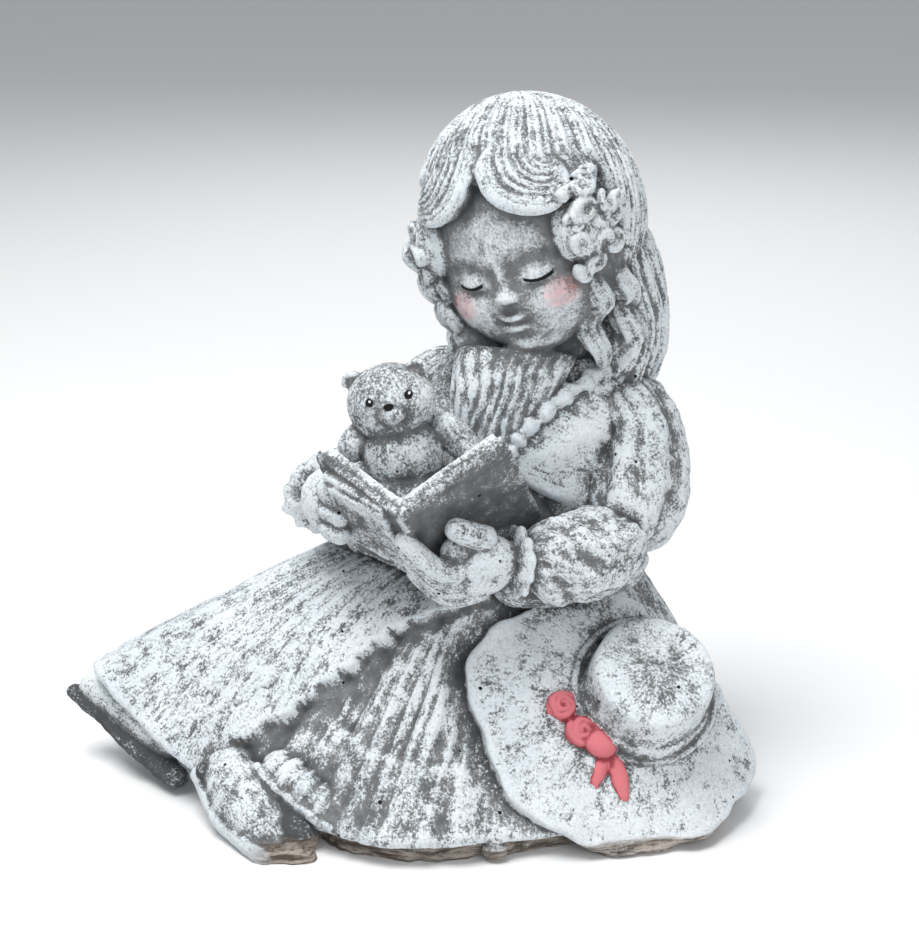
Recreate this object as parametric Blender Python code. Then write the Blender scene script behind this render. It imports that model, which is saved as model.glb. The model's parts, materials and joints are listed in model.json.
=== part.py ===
"""Cast-stone garden statue: a seated girl reads a book that a toy bear sits in, her wide hat beside her.

Everything was cast in one mould, so the statue is one solid. Its forms are closed skins, sunk into each
other as a sculptor adds clay, then fused into one surface and cut off flat where it stands.

Points of the figure are in grains: the statue is HEIGHT_GRAINS of them tall, and at the real size one grain
is one millimetre. +X is to the right of someone who looks at the statue's front, +Y is to the back, +Z is up.
"""

import math

import bmesh
import bpy
import numpy as np
from mathutils import Matrix, Vector

# Driving dimensions, in metres.
STATUE_HEIGHT = 0.335
HEM_RIM_HEIGHT = 0.012
BOOK_LENGTH = 0.072
BOOK_WIDTH = 0.057
COVER_THICKNESS = 0.0035
PAGES_THICKNESS = 0.005
HAT_CROWN_FOOT_RADIUS = 0.0315
HAT_CROWN_TOP_RADIUS = 0.027
HAT_CROWN_HEIGHT = 0.023
HAT_BRIM_THICKNESS = 0.005

# How finely the stone is carved, in metres and faces.
CARVING_CELL = 0.0019
MOST_FACES = 9800

# How many faces the larger skins have around and along.
SKIRT_GRID = (480, 110)
BLOUSE_GRID = (120, 30)
JACKET_GRID = (80, 24)
FACE_GRID = (128, 110)
HAIR_GRID = (240, 56)
LOCK_GRID = (110, 80)
BRIM_GRID = (160, 70)
CROWN_GRID = (64, 60)

HEIGHT_GRAINS = 335
GRAIN = STATUE_HEIGHT / HEIGHT_GRAINS
CROWN_FOOT = HAT_CROWN_FOOT_RADIUS / GRAIN
CROWN_TOP = HAT_CROWN_TOP_RADIUS / GRAIN
CROWN_HEIGHT = HAT_CROWN_HEIGHT / GRAIN
BRIM_THICKNESS = HAT_BRIM_THICKNESS / GRAIN

# The girl's head: its middle, and how it turns to her right, nods and leans, in degrees.
HEAD_MIDDLE = (57, 14, 265)
HEAD_TURN = -22
HEAD_NOD = 13
HEAD_LEAN = -14
HAIR_RADII = (54, 54, 57)
HAIR_LIFT = 8  # the middle of the hair is this much above the middle of the head
PARTING_LEAN = math.radians(-26)  # how far forwards the strands on top of the head start

# Her trunk faces to the front and to her right.
TRUNK_TURN = math.radians(-40)

# The skirt spreads from the waist to its hem. Each row is a place on the hem: x, y, height, how far out
# the lap reaches before the cloth falls, how round the fall is, and how far the stone below is tucked in.
WAIST = (60, 20)
LAP_HEIGHT = 109
HEM = (
    (-153, 4, 50, 0.42, 1.10, 22),
    (-127, -26, 34, 0.42, 1.35, 20),
    (-99, -49, 21, 0.42, 1.60, 12),
    (-64, -68, 15, 0.42, 1.60, 8),
    (-32, -96, 13, 0.42, 1.30, 6),
    (-3, -106, 12, 0.42, 1.15, 5),
    (36, -101, 12, 0.40, 1.00, 5),
    (78, -88, 10, 0.38, 0.92, 4),
    (112, -73, 8, 0.36, 0.90, 2),
    (137, -50, 8, 0.36, 0.92, 2),
    (153, -24, 8, 0.40, 1.02, 2),
    (160, 12, 8, 0.44, 1.15, 2),
    (149, 52, 8, 0.42, 1.15, 2),
    (117, 84, 8, 0.40, 1.15, 2),
    (70, 101, 8, 0.38, 1.20, 2),
    (18, 103, 8, 0.38, 1.25, 2),
    (-38, 93, 9, 0.38, 1.35, 3),
    (-92, 73, 16, 0.40, 1.35, 8),
    (-136, 44, 36, 0.42, 1.20, 18),
)
HEM_RIM_GRAINS = 12  # the height that HEM is drawn for
SKIRT_FOLDS = 24
FLOUNCE_PLEATS = 46
FLOUNCE_START = 0.83
APRON_FROM = 16.6  # counted along HEM
APRON_TO = (  # (share of the way out, count along HEM)
    (0.00, 5.4), (0.46, 5.3), (0.50, 4.6), (0.55, 3.9), (0.63, 3.45), (0.72, 3.2), (0.80, 2.95), (0.87, 2.65),
    (0.94, 2.25), (1.00, 2.05),
)
APRON_LIFT = 5.4
APRON_SCALLOPS = 21
LEFT_RINGLET = [(9, 4, 262), (13, 4, 253), (17, 4, 243), (18, 4, 232), (23, 3, 221), (30, 2, 211)]

BEAR_HEAD_MIDDLE = (-8, -35, 198)

# The hat lies on the skirt's near side: where its brim's middle is, and which way it faces.
HAT_MIDDLE = (107.5, -55, 57.5)
HAT_FACES = (0.20, -0.77, 0.60)
BRIM_REACH = (46, 38, 38, 45, 57, 64, 83, 77, 77, 74, 70, 67, 65, 66)
BRIM_DROOP = 0.009
CROWN_PLACE = (3.0, 5.5)
CROWN_LEAN = math.radians(-11)


def spline(points, t, closed=False):
    """Places on the smooth curve through points, at each share t of its run."""
    points = np.asarray(points, float)
    if closed:
        spans = len(points)
        ring = np.vstack([points[-1:], points, points[:2]])
    else:
        spans = len(points) - 1
        ring = np.vstack([2 * points[0] - points[1], points, 2 * points[-1] - points[-2]])
    run = np.clip(t, 0, 1) * spans
    index = np.minimum(run.astype(int), spans - 1)
    f = (run - index)[:, None]
    a, b, c, d = (ring[index + k] for k in range(4))
    return b + 0.5 * f * (c - a + f * (2 * a - 5 * b + 4 * c - d + f * (3 * (b - c) + d - a)))


def unit(vectors):
    return vectors / np.maximum(np.linalg.norm(vectors, axis=-1, keepdims=True), 1e-9)


def smooth_step(x, low, high):
    x = np.clip((x - low) / (high - low), 0, 1)
    return x * x * (3 - 2 * x)


def turned(turn, nod, lean, middle):
    """The place of a form that turns about the upright, nods forwards and leans sideways, in degrees."""
    return (
        Matrix.Translation(middle)
        @ Matrix.Rotation(math.radians(turn), 4, "Z")
        @ Matrix.Rotation(math.radians(nod), 4, "X")
        @ Matrix.Rotation(math.radians(lean), 4, "Y")
    )


HEAD = turned(HEAD_TURN, HEAD_NOD, HEAD_LEAN, HEAD_MIDDLE)
BEAR_HEAD = turned(-6, 4, -12, BEAR_HEAD_MIDDLE)
UPRIGHT = Matrix.Identity(4)


class Clay:
    """The forms of the statue, gathered in one mesh as they are made."""

    def __init__(self):
        self.mesh = bmesh.new()

    def skin(self, surface, around, along, place=UPRIGHT):
        """A closed skin: a grid is wrapped so that its long sides meet and its ends shrink to poles."""
        patch = bmesh.new()
        bmesh.ops.create_grid(patch, x_segments=round(around), y_segments=round(along), size=0.5)
        flat = np.array([v.co for v in patch.verts])
        wrapped = surface(flat[:, 0] + 0.5, flat[:, 1] + 0.5)
        for vertex, point in zip(patch.verts, wrapped, strict=True):
            vertex.co = place @ Vector(point)
        bmesh.ops.remove_doubles(patch, verts=patch.verts, dist=1e-3)
        bmesh.ops.recalc_face_normals(patch, faces=patch.faces)
        made = bpy.data.meshes.new("form")
        patch.to_mesh(made)
        patch.free()
        self.mesh.from_mesh(made)
        bpy.data.meshes.remove(made)

    def ball(self, middle, radii, place=UPRIGHT, around=20, along=12):
        def surface(u, v):
            turn, rise = 2 * math.pi * u, math.pi * v
            return np.column_stack(
                [
                    middle[0] + radii[0] * np.sin(rise) * np.cos(turn),
                    middle[1] + radii[1] * np.sin(rise) * np.sin(turn),
                    middle[2] - radii[2] * np.cos(rise),
                ]
            )

        self.skin(surface, around, along, place)

    def tube(
        self, points, radii, flat=1.0, side=(0, 0, 1), flutes=0, depth=0.0, place=UPRIGHT, around=12,
        along=18, twist=0.0, folds=None,
    ):
        """A rounded tube along points. flat is its breadth along side, as a share of its radius.

        Its girth swells with flutes that run along it and twist round it, or as folds(turn, v) says.
        """
        radii = np.asarray(radii, float)[:, None]
        length = np.linalg.norm(np.diff(np.asarray(points, float), axis=0), axis=1).sum()

        def surface(u, v):
            middle = spline(points, v)
            ahead = unit(spline(points, v + 0.01) - spline(points, v - 0.01))
            across = unit(np.cross(ahead, np.asarray(side, float)))
            other = np.cross(across, ahead)
            radius = spline(np.hstack([radii, radii]), v)[:, :1]
            end = np.clip(0.9 * radius[:, 0] / length, 0.02, 0.5)
            rounded = np.sqrt(np.clip(1 - (1 - np.minimum(v, 1 - v) / end) ** 2, 0, 1))
            rounded = np.where(np.minimum(v, 1 - v) > end, 1, rounded)[:, None]
            turn = (2 * math.pi * u)[:, None]
            ripple = folds(turn, v[:, None]) if folds else depth * np.cos(flutes * turn + twist * v[:, None])
            swell = radius * rounded * (1 + ripple)
            return middle + swell * (across * np.cos(turn) + other * np.sin(turn) * flat)

        self.skin(surface, around, along, place)

    def leaf(self, corners, thickness, place=UPRIGHT):
        """A flat sheet between four corners, given in order, with its thickness on both sides."""
        corners = [Vector(c) for c in corners]
        patch = bmesh.new()
        bmesh.ops.create_cube(patch, size=1)
        face = (corners[1] - corners[0]).cross(corners[3] - corners[0]).normalized()
        for vertex in patch.verts:
            s, t, w = vertex.co.x + 0.5, vertex.co.y + 0.5, vertex.co.z
            near = corners[0].lerp(corners[1], s)
            far = corners[3].lerp(corners[2], s)
            vertex.co = place @ (near.lerp(far, t) + face * w * thickness)
        bmesh.ops.recalc_face_normals(patch, faces=patch.faces)
        made = bpy.data.meshes.new("leaf")
        patch.to_mesh(made)
        patch.free()
        self.mesh.from_mesh(made)
        bpy.data.meshes.remove(made)


def hat_frame():
    """Where the hat lies: its own X runs across the brim, Y up the slope, and Z out of the crown."""
    out = Vector(HAT_FACES).normalized()
    across = Vector((0, 0, 1)).cross(out).normalized()
    up = out.cross(across)
    frame = Matrix((across, up, out)).transposed().to_4x4()
    return Matrix.Translation(HAT_MIDDLE) @ frame


def brim_shape(across, turn, share):
    """How far the brim's upper side stands over the hat's own XY plane."""
    wave = 1.8 * np.sin(5 * turn + 1) * share**3 + 0.7 * np.sin(13 * turn) * share**4
    droop = BRIM_DROOP * np.maximum(across - 8, 0) ** 2 + 0.0025 * np.maximum(-across - 40, 0) ** 2
    return wave - droop


def give_way_to_hat(points):
    """Presses the cloth in where the hat lies on it."""
    place = np.array(hat_frame())
    own = (points - place[:3, 3]) @ place[:3, :3]
    turn = np.arctan2(own[:, 1], own[:, 0])
    reach = spline(np.array(BRIM_REACH, float)[:, None], (turn / (2 * math.pi)) % 1, closed=True)[:, 0]
    share = np.hypot(own[:, 0], own[:, 1]) / reach
    seat = brim_shape(own[:, 0], turn, np.minimum(share, 1)) - BRIM_THICKNESS - 1.5
    pressed = np.minimum(own[:, 2], seat)
    own[:, 2] += (pressed - own[:, 2]) * (1 - smooth_step(share, 1.0, 1.22))
    return own @ place[:3, :3].T + place[:3, 3]


def skirt(clay):
    """The spread skirt: lap, fall, folds, pleated flounce and apron, over the rim that it stands on."""
    hem = np.array(HEM, float)
    rim = HEM_RIM_HEIGHT / GRAIN / HEM_RIM_GRAINS
    top_share, edge_share, tucked_share, wall_share = 0.80, 0.83, 0.87, 0.96
    floor = -12

    def apron_share(u, s):
        """Where the apron lies, and how far each place is from its near edge."""
        place = u * len(hem)
        counted = np.where(place < 10, place + len(hem), place)
        scallop = 0.10 * np.abs(np.sin(math.pi * APRON_SCALLOPS * s + 0.9 * np.sin(9 * s)))
        scallop = scallop * smooth_step(s, 0.2, 0.5) + 0.02 * np.sin(61 * s)
        near_edge = len(hem) + np.interp(s, *np.transpose(APRON_TO)) + scallop
        on_apron = smooth_step(counted, APRON_FROM - scallop - 0.06, APRON_FROM - scallop)
        on_apron *= 1 - smooth_step(counted, near_edge - 0.01, near_edge + 0.03)
        return on_apron, counted - near_edge

    def valley(from_edge):
        """The hollow that the skirt sinks into beside the apron's near edge."""
        return np.exp(-(((from_edge - 0.2) / 0.24) ** 2))

    def surface(u, v):
        row = spline(hem, u, closed=True)
        out = row[:, :2] - WAIST
        reach = np.linalg.norm(out, axis=1)
        out = out / reach[:, None]
        s = np.clip(v / top_share, 0, 1)
        fall = np.clip((s - row[:, 3]) / (1 - row[:, 3]), 0, 1) ** row[:, 4]
        distance = reach * s
        height = LAP_HEIGHT + (row[:, 2] * rim - LAP_HEIGHT) * fall

        on_apron, from_edge = apron_share(u, s)
        seam = np.exp(-(((from_edge + 0.62) / 0.035) ** 2)) + 0.6 * np.exp(-(((from_edge + 1.9) / 0.03) ** 2))
        lace = smooth_step(from_edge, -0.16, -0.05) * on_apron
        folds = 1.5 * np.cos(2 * math.pi * SKIRT_FOLDS * u + 1.6 * np.sin(5 * u * math.pi))
        folds = folds + 1.1 * np.cos(2 * math.pi * 2.4 * SKIRT_FOLDS * u + 2.6 * np.sin(7 * u * math.pi))
        pleats = 1.7 * np.abs(np.cos(math.pi * FLOUNCE_PLEATS * u + 1.1 * np.sin(9 * math.pi * u)))
        flounce = smooth_step(s, FLOUNCE_START, FLOUNCE_START + 0.02)
        frill = 1 + 0.6 * np.sin(2 * math.pi * 31 * u + 2 * np.sin(40 * u))
        lip = frill * np.exp(-(((s - 0.99) / 0.016) ** 2))
        cloth = folds * smooth_step(s, 0.40, 0.85) * (1 - 0.6 * flounce)
        tops = 0.6 * pleats * np.exp(-(((s - FLOUNCE_START - 0.025) / 0.015) ** 2))
        cloth = cloth + flounce * (0.9 + pleats * smooth_step(s, FLOUNCE_START, 0.95) + tops) + 1.4 * lip
        apron = APRON_LIFT + 0.12 * folds * s - 0.9 * seam + 0.5 * lace + 0.9 * lip
        lift = (cloth - 1.5 * valley(from_edge)) * (1 - on_apron) + apron * on_apron
        lift *= smooth_step(s, 0.25, 0.45)
        lift *= 1 - 0.8 * smooth_step(v, edge_share - 0.02, tucked_share)
        distance = distance + 0.75 * lift
        height = height + 0.65 * lift * (1 - 0.5 * smooth_step(s, 0.9, 1))

        below = smooth_step(v, top_share, edge_share)
        inside = smooth_step(v, edge_share, tucked_share)
        down = smooth_step(v, tucked_share, wall_share)
        closing = smooth_step(v, wall_share, 1)
        height = height - 3 * rim * below
        distance = distance - row[:, 5] * inside
        height = height + (floor - height) * down
        distance = distance * (1 - closing)
        cloth = np.column_stack([WAIST[0] + out[:, 0] * distance, WAIST[1] + out[:, 1] * distance, height])
        kept = (v > tucked_share)[:, None]
        return np.where(kept, cloth, give_way_to_hat(cloth))

    clay.skin(surface, *SKIRT_GRID)
    clay.ball((39, -101, 5), (5.5, 3.5, 4.5))

    def gathered(turn, v):
        return 0.10 * np.cos(2 * math.pi * 5 * v + turn) + 0.04 * np.cos(2 * math.pi * 13 * v)

    turned_in = [(-72, -64, 31), (-66, -73, 27), (-57, -81, 23), (-46, -89, 18), (-34, -96, 13)]
    clay.tube(turned_in, [2, 2.4, 2.4, 2.4, 2], along=60, folds=gathered)
    behind = [(x + 7, y + 8, z) for x, y, z in turned_in]
    clay.tube(behind, [7, 9, 10, 10, 7], around=40, along=60, folds=gathered)


def shoes(clay):
    """Both feet come out under the apron and lie on their sides, soles to the left."""
    upper = [(-87, -47, 21), (-81, -62, 17), (-71, -79, 11), (-58, -96, 3)]
    clay.tube(upper, [13, 15, 14, 9], around=40, along=40)
    clay.tube([(-66, -52, 13), (-58, -74, 9), (-47, -94, 2)], [14, 14, 9])
    clay.ball((-57, -98, 1), (13, 6, 6))
    clay.ball((-84, -55, 27), (11, 9, 7))
    clay.ball((-97, -58, 24), (3.2, 4.5, 4.0))
    sole = [(-102, -50, 22), (-95, -64, 14), (-86, -79, 8), (-73, -95, 4), (-61, -103, 1)]
    clay.tube(sole, [3, 4, 4.2, 4.2, 3.5])
    clay.tube([(-104, -22, 20), (-128, -7, 27), (-148, 5, 34), (-166, 13, 39)], [15, 13, 10, 5])
    ridge = [(-110, -36, 7), (-130, -19, 14), (-151, 0, 24), (-172, 12, 36)]
    clay.tube(ridge, [6, 5.5, 5, 3.5], around=24, along=60)
    clay.ball((-106, -42, 3), (7, 6, 4))


def trunk(clay):
    """The bodice, from the hips to the neck."""
    spine = [(76, 30, 84), (74, 28, 108), (70, 25, 134), (65, 23, 160), (61, 21, 182), (58, 19, 198)]
    spine.append((57, 16, 218))
    clay.tube(
        spine,
        [44, 44, 37, 39, 42, 30, 18],
        flat=0.84,
        side=(math.sin(TRUNK_TURN), -math.cos(TRUNK_TURN), 0),
        around=60,
        along=60,
    )


def sash(clay):
    """The waistband and the tied ends of its sash, at her back."""
    ring = np.linspace(0, 2 * math.pi, 25)
    waist = [(72 + 39 * math.cos(a), 27 + 34 * math.sin(a), 118 + 2 * math.sin(a)) for a in ring]
    clay.tube(waist, [6] * len(waist), around=16, along=90)
    for hand in (-1, 1):
        loop = [(86, 60, 118), (86 + 14 * hand, 66, 126), (86 + 22 * hand, 64, 118), (86, 60, 117)]
        clay.tube(loop, [5, 7, 6, 4])
        clay.tube([(86, 60, 117), (86 + 8 * hand, 68, 98), (86 + 14 * hand, 80, 74)], [6, 7, 6], flat=0.6)
    clay.ball((86, 62, 118), (6, 5, 6))


def panel(clay, top, low, facing, swell, grid):
    """A cushion of cloth between two lines across the chest. swell(share, v) is how far it stands out."""

    def surface(u, v):
        front = u < 0.5
        share = np.where(front, 2 * u, 2 - 2 * u)
        start, end = spline(top, share), spline(low, share)
        taper = np.sqrt(np.clip(1 - np.abs(2 * v - 1) ** 9, 0, 1))
        taper = taper * np.clip(np.sin(math.pi * share) * 6, 0, 1)
        out = np.where(front, swell(share, v), -9.0) * taper
        return start + (end - start) * v[:, None] + out[:, None] * facing

    clay.skin(surface, *grid)


def pleats_and_collar(clay):
    """The pleated blouse front under the chin, and the jacket's front beside it with its ruffled edge."""
    neck = [(21, 4, 210), (28, -11, 214), (41, -18, 214), (53, -19, 214), (65, -16, 213), (78, -9, 210)]
    foot = [(19, -8, 184), (24, -18, 174), (32, -23, 167), (42, -25, 167), (51, -23, 175), (64, -18, 188)]

    def pleated(share, v):
        wander = 0.8 * np.sin(4 * v + 9 * share) + 0.5 * np.sin(11 * v)
        pleat = np.abs(np.sin(math.pi * 10 * share + wander)) ** 0.8
        return 2.0 + 3.2 * np.sin(math.pi * v) + pleat * (1.2 + 2.0 * v)

    panel(clay, neck, foot, np.array((-0.35, -0.92, 0.18)), pleated, BLOUSE_GRID)
    clay.ball((49, 2, 192), (27, 17, 23), around=28, along=18)

    lapel = [(100, 8, 206), (84, -6, 201), (68, -16, 192), (55, -22, 182), (46, -25, 170), (47, -25, 157)]
    armhole = [(110, 4, 200), (106, -4, 188), (101, -10, 176), (95, -13, 164), (86, -16, 152), (74, -20, 142)]

    def rumpled(share, v):
        return 2.5 + 3.0 * np.sin(math.pi * v) + 1.2 * np.sin(9 * share + 5 * v) * np.sin(math.pi * v)

    def ruffled(turn, v):
        sway = 1.2 * np.cos(turn) + np.sin(9 * v)
        return 0.20 * np.cos(2 * math.pi * 9 * v + sway) + 0.10 * np.cos(2 * math.pi * 17 * v - 2 * sway)

    panel(clay, lapel, armhole, np.array((-0.20, -0.97, 0.12)), rumpled, JACKET_GRID)
    clay.ball((80, 3, 180), (22, 16, 30), around=28, along=18)
    clay.ball((66, -1, 166), (20, 14, 25), around=28, along=18)
    edge = [(x - 0.5, y - 3.5, z + 0.5) for x, y, z in lapel]
    clay.tube(edge, [3.4, 4.0, 3.8, 3.8, 3.4, 2.6], around=10, along=60, folds=ruffled)
    clay.tube([(34, 38, 203), (20, 24, 198), (15, 8, 188), (19, -8, 176)], [6, 6.5, 6, 5])


def sleeve(clay, points, radii, start):
    """A full sleeve, gathered in folds that run round it."""

    def folds(turn, v):
        ridge = 0.040 * np.cos(7 * turn + 2 * v + start) + 0.040 * np.sin(3 * turn - 7 * v + start)
        gathers = 0.045 * np.cos(16 * turn + 2.5 * np.sin(5 * v + start))
        ridge = ridge + gathers * (1 - smooth_step(np.minimum(v, 1 - v), 0.08, 0.35))
        return ridge - 0.09 * np.abs(np.sin(2 * turn + 6 * v + 1.3 * np.sin(5 * v + start))) ** 6 + 0.02

    clay.tube(points, radii, side=(0, 1, 0), around=56, along=36, folds=folds)


def cuff(clay, middle, faces, radius):
    """A frilled cuff: a short fluted ring across the wrist."""
    faces = Vector(faces).normalized()
    middle = Vector(middle)
    ends = [tuple(middle - faces * 3.5), tuple(middle), tuple(middle + faces * 3.5)]
    radii = [radius] * len(ends)
    clay.tube(ends, radii, side=(0, 1, 0.3), flutes=11, depth=0.06, around=66, along=10)


def near_arm(clay):
    """Her left arm: puffed sleeve, frilled cuff, and the hand that holds the book from outside."""
    shoulder = [(97, 4, 197), (105, -1, 183), (107, -4, 166), (106, -8, 149), (103, -14, 133), (98, -20, 122)]
    sleeve(clay, shoulder, [15, 19, 23, 24, 21, 15], 0.6)
    forearm = [(103, -26, 128), (93, -36, 127), (79, -46, 127), (64, -53, 128), (51, -57, 129)]
    sleeve(clay, forearm, [17, 20.5, 20.5, 19, 17], 2.1)
    cuff(clay, (49, -58, 129), (-0.85, -0.4, 0.1), 16.5)
    back = [(50, -57, 129), (38, -60, 129), (27, -63, 128), (16, -66, 129)]
    clay.tube(back, [12, 15, 15, 10], flat=0.8, side=(0.4, -0.83, -0.39), around=24, along=30)
    clay.ball((27, -66, 137), (13, 7, 9))
    fingers = 4
    for k in range(fingers):
        low = k / (fingers - 1)
        start = (34 + 2 * low, -66 + 5 * low, 135 - 17 * low)
        bend = (16 + 2 * low, -72 + 8 * low, 129 - 14 * low)
        tip = (-5 + 5 * low, -76 + 9 * low, 149 - 19 * low)
        clay.tube([start, bend, tip], [6.4, 6.2, 4.6])
    clay.tube([(39, -63, 141), (28, -70, 146), (17, -73, 152)], [6.5, 6.2, 4.8])


def far_arm(clay):
    """Her right arm, which comes round behind the bear to the other cover."""
    shoulder = [(26, 40, 198), (14, 49, 182), (4, 54, 164), (-4, 54, 147), (-12, 48, 132)]
    sleeve(clay, shoulder, [13, 19, 22, 21, 14], 3.0)
    forearm = [(-4, 57, 137), (-20, 42, 137), (-34, 20, 139), (-42, 0, 143), (-45, -12, 145)]
    sleeve(clay, forearm, [14, 19, 19, 17, 14], 4.4)
    cuff(clay, (-43, -17, 146), (0.1, -1, 0.1), 17)
    back = [(-42, -16, 147), (-38, -32, 149), (-34, -44, 150)]
    clay.tube(back, [12, 12, 8], flat=1.2)
    for k in range(3):
        route = [(-38, -34, 158 - 9 * k), (-36, -44, 157 - 9 * k), (-28, -51, 155 - 9 * k)]
        clay.tube(route, [5, 5, 4])


def lap_core(clay):
    """The stone that fills the space between her arms, her lap and the book."""
    clay.ball((24, 4, 132), (56, 38, 31), around=40, along=24)
    clay.ball((20, -20, 130), (36, 28, 24), around=32, along=20)
    clay.tube([(84, -8, 110), (66, -32, 112), (38, -46, 116)], [17, 15, 13])
    clay.tube([(62, 24, 112), (30, 28, 114), (-6, 22, 118), (-26, -6, 124)], [30, 26, 20, 14])


def book(clay):
    """Two covers, each with its block of pages, and two loose leaves that have dropped from the far side."""
    length, width = BOOK_LENGTH / GRAIN, BOOK_WIDTH / GRAIN
    cover, pages = COVER_THICKNESS / GRAIN, PAGES_THICKNESS / GRAIN
    spine_top = Vector((-4, -85, 162))
    foot = spine_top + Vector((0.264, 0.639, -0.722)) * length
    near = Vector((0.807, 0.264, 0.528)) * width
    far = Vector((-0.66, 0.70, 0.27)) * width
    far_top = spine_top + far
    far_foot = far_top + Vector((0.30, 0.20, -0.93)) * length * 0.75
    for top, low, inward in ((spine_top + near, foot + near, 1), (far_top, far_foot, -1)):
        corners = (spine_top, top, low, foot)
        clay.leaf(corners, cover)
        face = (top - spine_top).cross(foot - spine_top).normalized() * inward
        middle = sum(corners, Vector()) / 4
        inset = [c.lerp(middle, 0.07) + face * (cover + pages) / 2 for c in corners]
        clay.leaf(inset, pages)
    for drop in (5, 10):
        low = Vector((-5, 2, -drop))
        start, end = spine_top.lerp(far_top, 0.12), spine_top.lerp(far_top, 0.78)
        corners = (start + low * 0.5, end + low, end.lerp(far_foot, 0.55) + low, foot.lerp(far_foot, 0.3))
        clay.leaf(corners, 2.2)
    clay.tube([spine_top, spine_top.lerp(foot, 0.5), foot], [2.6, 2.6, 2.6], side=(1, 0, 0))


def bear(clay):
    """The toy bear that sits in the book and looks out over it."""
    clay.ball((0, 0, 0), (20.5, 18, 18), BEAR_HEAD, 40, 24)
    clay.ball((2.0, -12, -1.0), (8.2, 8.4, 6.2), BEAR_HEAD, 28, 16)
    for x, z in ((-15.5, 12.0), (15.0, 13.0)):
        clay.ball((x, 2, z), (5.0, 3.2, 5.0), BEAR_HEAD)
        rim = [(x + 3.9 * math.cos(a), -0.2, z + 3.9 * math.sin(a)) for a in np.linspace(-0.6, 3.7, 9)]
        clay.tube(rim, [1.3] * len(rim), side=(0, 1, 0), place=BEAR_HEAD)
    clay.ball((-3, -37, 172), (18.5, 16, 20), around=32, along=20)
    clay.ball((-1, -36, 154), (22, 20, 20), around=32, along=20)
    near_arm_line = [(10, -30, 187), (20, -33, 182), (28, -39, 173), (26, -46, 168)]
    clay.tube(near_arm_line, [7, 7.5, 6.5, 5.5])
    clay.tube([(-16, -31, 185), (-24, -33, 178), (-29, -38, 171)], [7.5, 7.5, 6])


def dome(lon, lat, lift):
    """Places over the hair in the head's own frame, in degrees. lon is 0 at the face, more to her left."""
    lon, lat = np.radians(lon), np.radians(lat)
    wide, deep, high = (radius + lift for radius in HAIR_RADII)
    level = np.cos(lat)
    x, y = wide * level * np.sin(lon), -deep * level * np.cos(lon)
    return np.column_stack([x, y, high * np.sin(lat) + HAIR_LIFT])


def on_head(lon, lat, lift=0.0):
    return Vector(dome(np.array([lon]), np.array([lat]), lift)[0])


def face(clay):
    """A calm child's face of plain proportions with lowered lids, modelled as swells on an egg."""
    egg = np.array(  # height, half-width, how far the front stands out, how far the back does
        [
            (54, 0, 0, 0), (50, 20, 18, 20), (40, 33, 31, 33), (26, 42, 40, 42), (10, 45.5, 44, 46),
            (-6, 46.5, 44.5, 46), (-18, 46, 44.5, 44), (-28, 42.5, 44, 40), (-36, 35, 42, 34),
            (-42, 25.5, 38, 28), (-46, 14.5, 31, 20), (-48, 0, 0, 0),
        ],
        float,
    )
    swells = (  # across, up, half-width, half-height, how far it stands out
        (16.5, -1.5, 11, 7.5, -3.4),
        (16.5, -3.0, 7.6, 4.6, 4.4),
        (16.5, -8.3, 7.0, 1.4, -0.8),
        (23, -18, 13, 10, 4.0),
        (0, -2, 3.4, 7, 1.4),
        (0, -11.2, 3.7, 3.4, 4.6),
        (3.6, -12.3, 2.3, 1.9, 1.6),
        (2.4, -14.8, 1.5, 1.1, -0.9),
        (0, -17.8, 1.8, 2.4, -0.4),
        (2.6, -21.6, 3.4, 1.7, 2.0),
        (0, -21.9, 3.0, 1.4, 1.2),
        (0, -24.7, 2.8, 0.9, -1.3),
        (3.2, -24.4, 2.0, 0.9, -1.6),
        (5.9, -23.5, 1.4, 1.0, -1.5),
        (7.6, -23.0, 1.6, 1.6, -0.6),
        (0, -26.8, 4.6, 2.0, 2.3),
        (0, -31.0, 6.5, 2.0, -1.2),
        (0, -37.5, 9.0, 5.0, 2.6),
    )

    def head(u, v):
        turn = 2 * math.pi * u + math.pi
        row = spline(egg, v)
        z, wide = row[:, 0], np.maximum(row[:, 1], 0)
        x = wide * np.sin(turn)
        y = -np.where(np.cos(turn) > 0, row[:, 2], row[:, 3]) * np.cos(turn)
        front = smooth_step(-y, 10, 28)
        for across, up, half_width, half_height, out in swells:
            for hand in (-1, 1) if across else (0,):
                near = np.exp(-(((x - across * hand) / half_width) ** 2) - ((z - up) / half_height) ** 2)
                y = y - out * near * front
        return np.column_stack([x, y, z])

    clay.skin(head, *FACE_GRID, HEAD)


def swept_lock(clay, outer, inner, grooves, lift):
    """A broad lock swept over the head, with a rolled outer edge and grooves that follow it."""
    outer, inner = np.array(outer, float), np.array(inner, float)

    def surface(u, v):
        share = np.where(u < 0.5, 2 * u, 2 - 2 * u)
        taper = np.sqrt(np.clip(1 - np.abs(2 * v - 1) ** 7, 0, 1))
        line = spline(outer, v)
        line = line + (spline(inner, v) - line) * (0.5 + (share - 0.5) * taper)[:, None]
        roll = np.sqrt(np.clip(1 - (1 - np.minimum(share / 0.16, 1)) ** 2, 0, 1))
        groove = np.abs(np.sin(math.pi * grooves * (share - 0.16) + 0.5 * np.sin(7 * v))) ** 0.7
        groove = groove * smooth_step(share, 0.12, 0.24) + 1 - smooth_step(share, 0.12, 0.24)
        height = lift - 3.5 + 3.5 * roll - 1.9 * (1 - groove) - 1.6 * share
        backing = 12 * smooth_step(share, 0, 0.10) * smooth_step(1 - share, 0, 0.10)
        height = height - backing * (u > 0.5)
        height = height * taper - 11 * (1 - taper)
        return dome(line[:, 0], line[:, 1], height)

    clay.skin(surface, *LOCK_GRID, HEAD)


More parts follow.
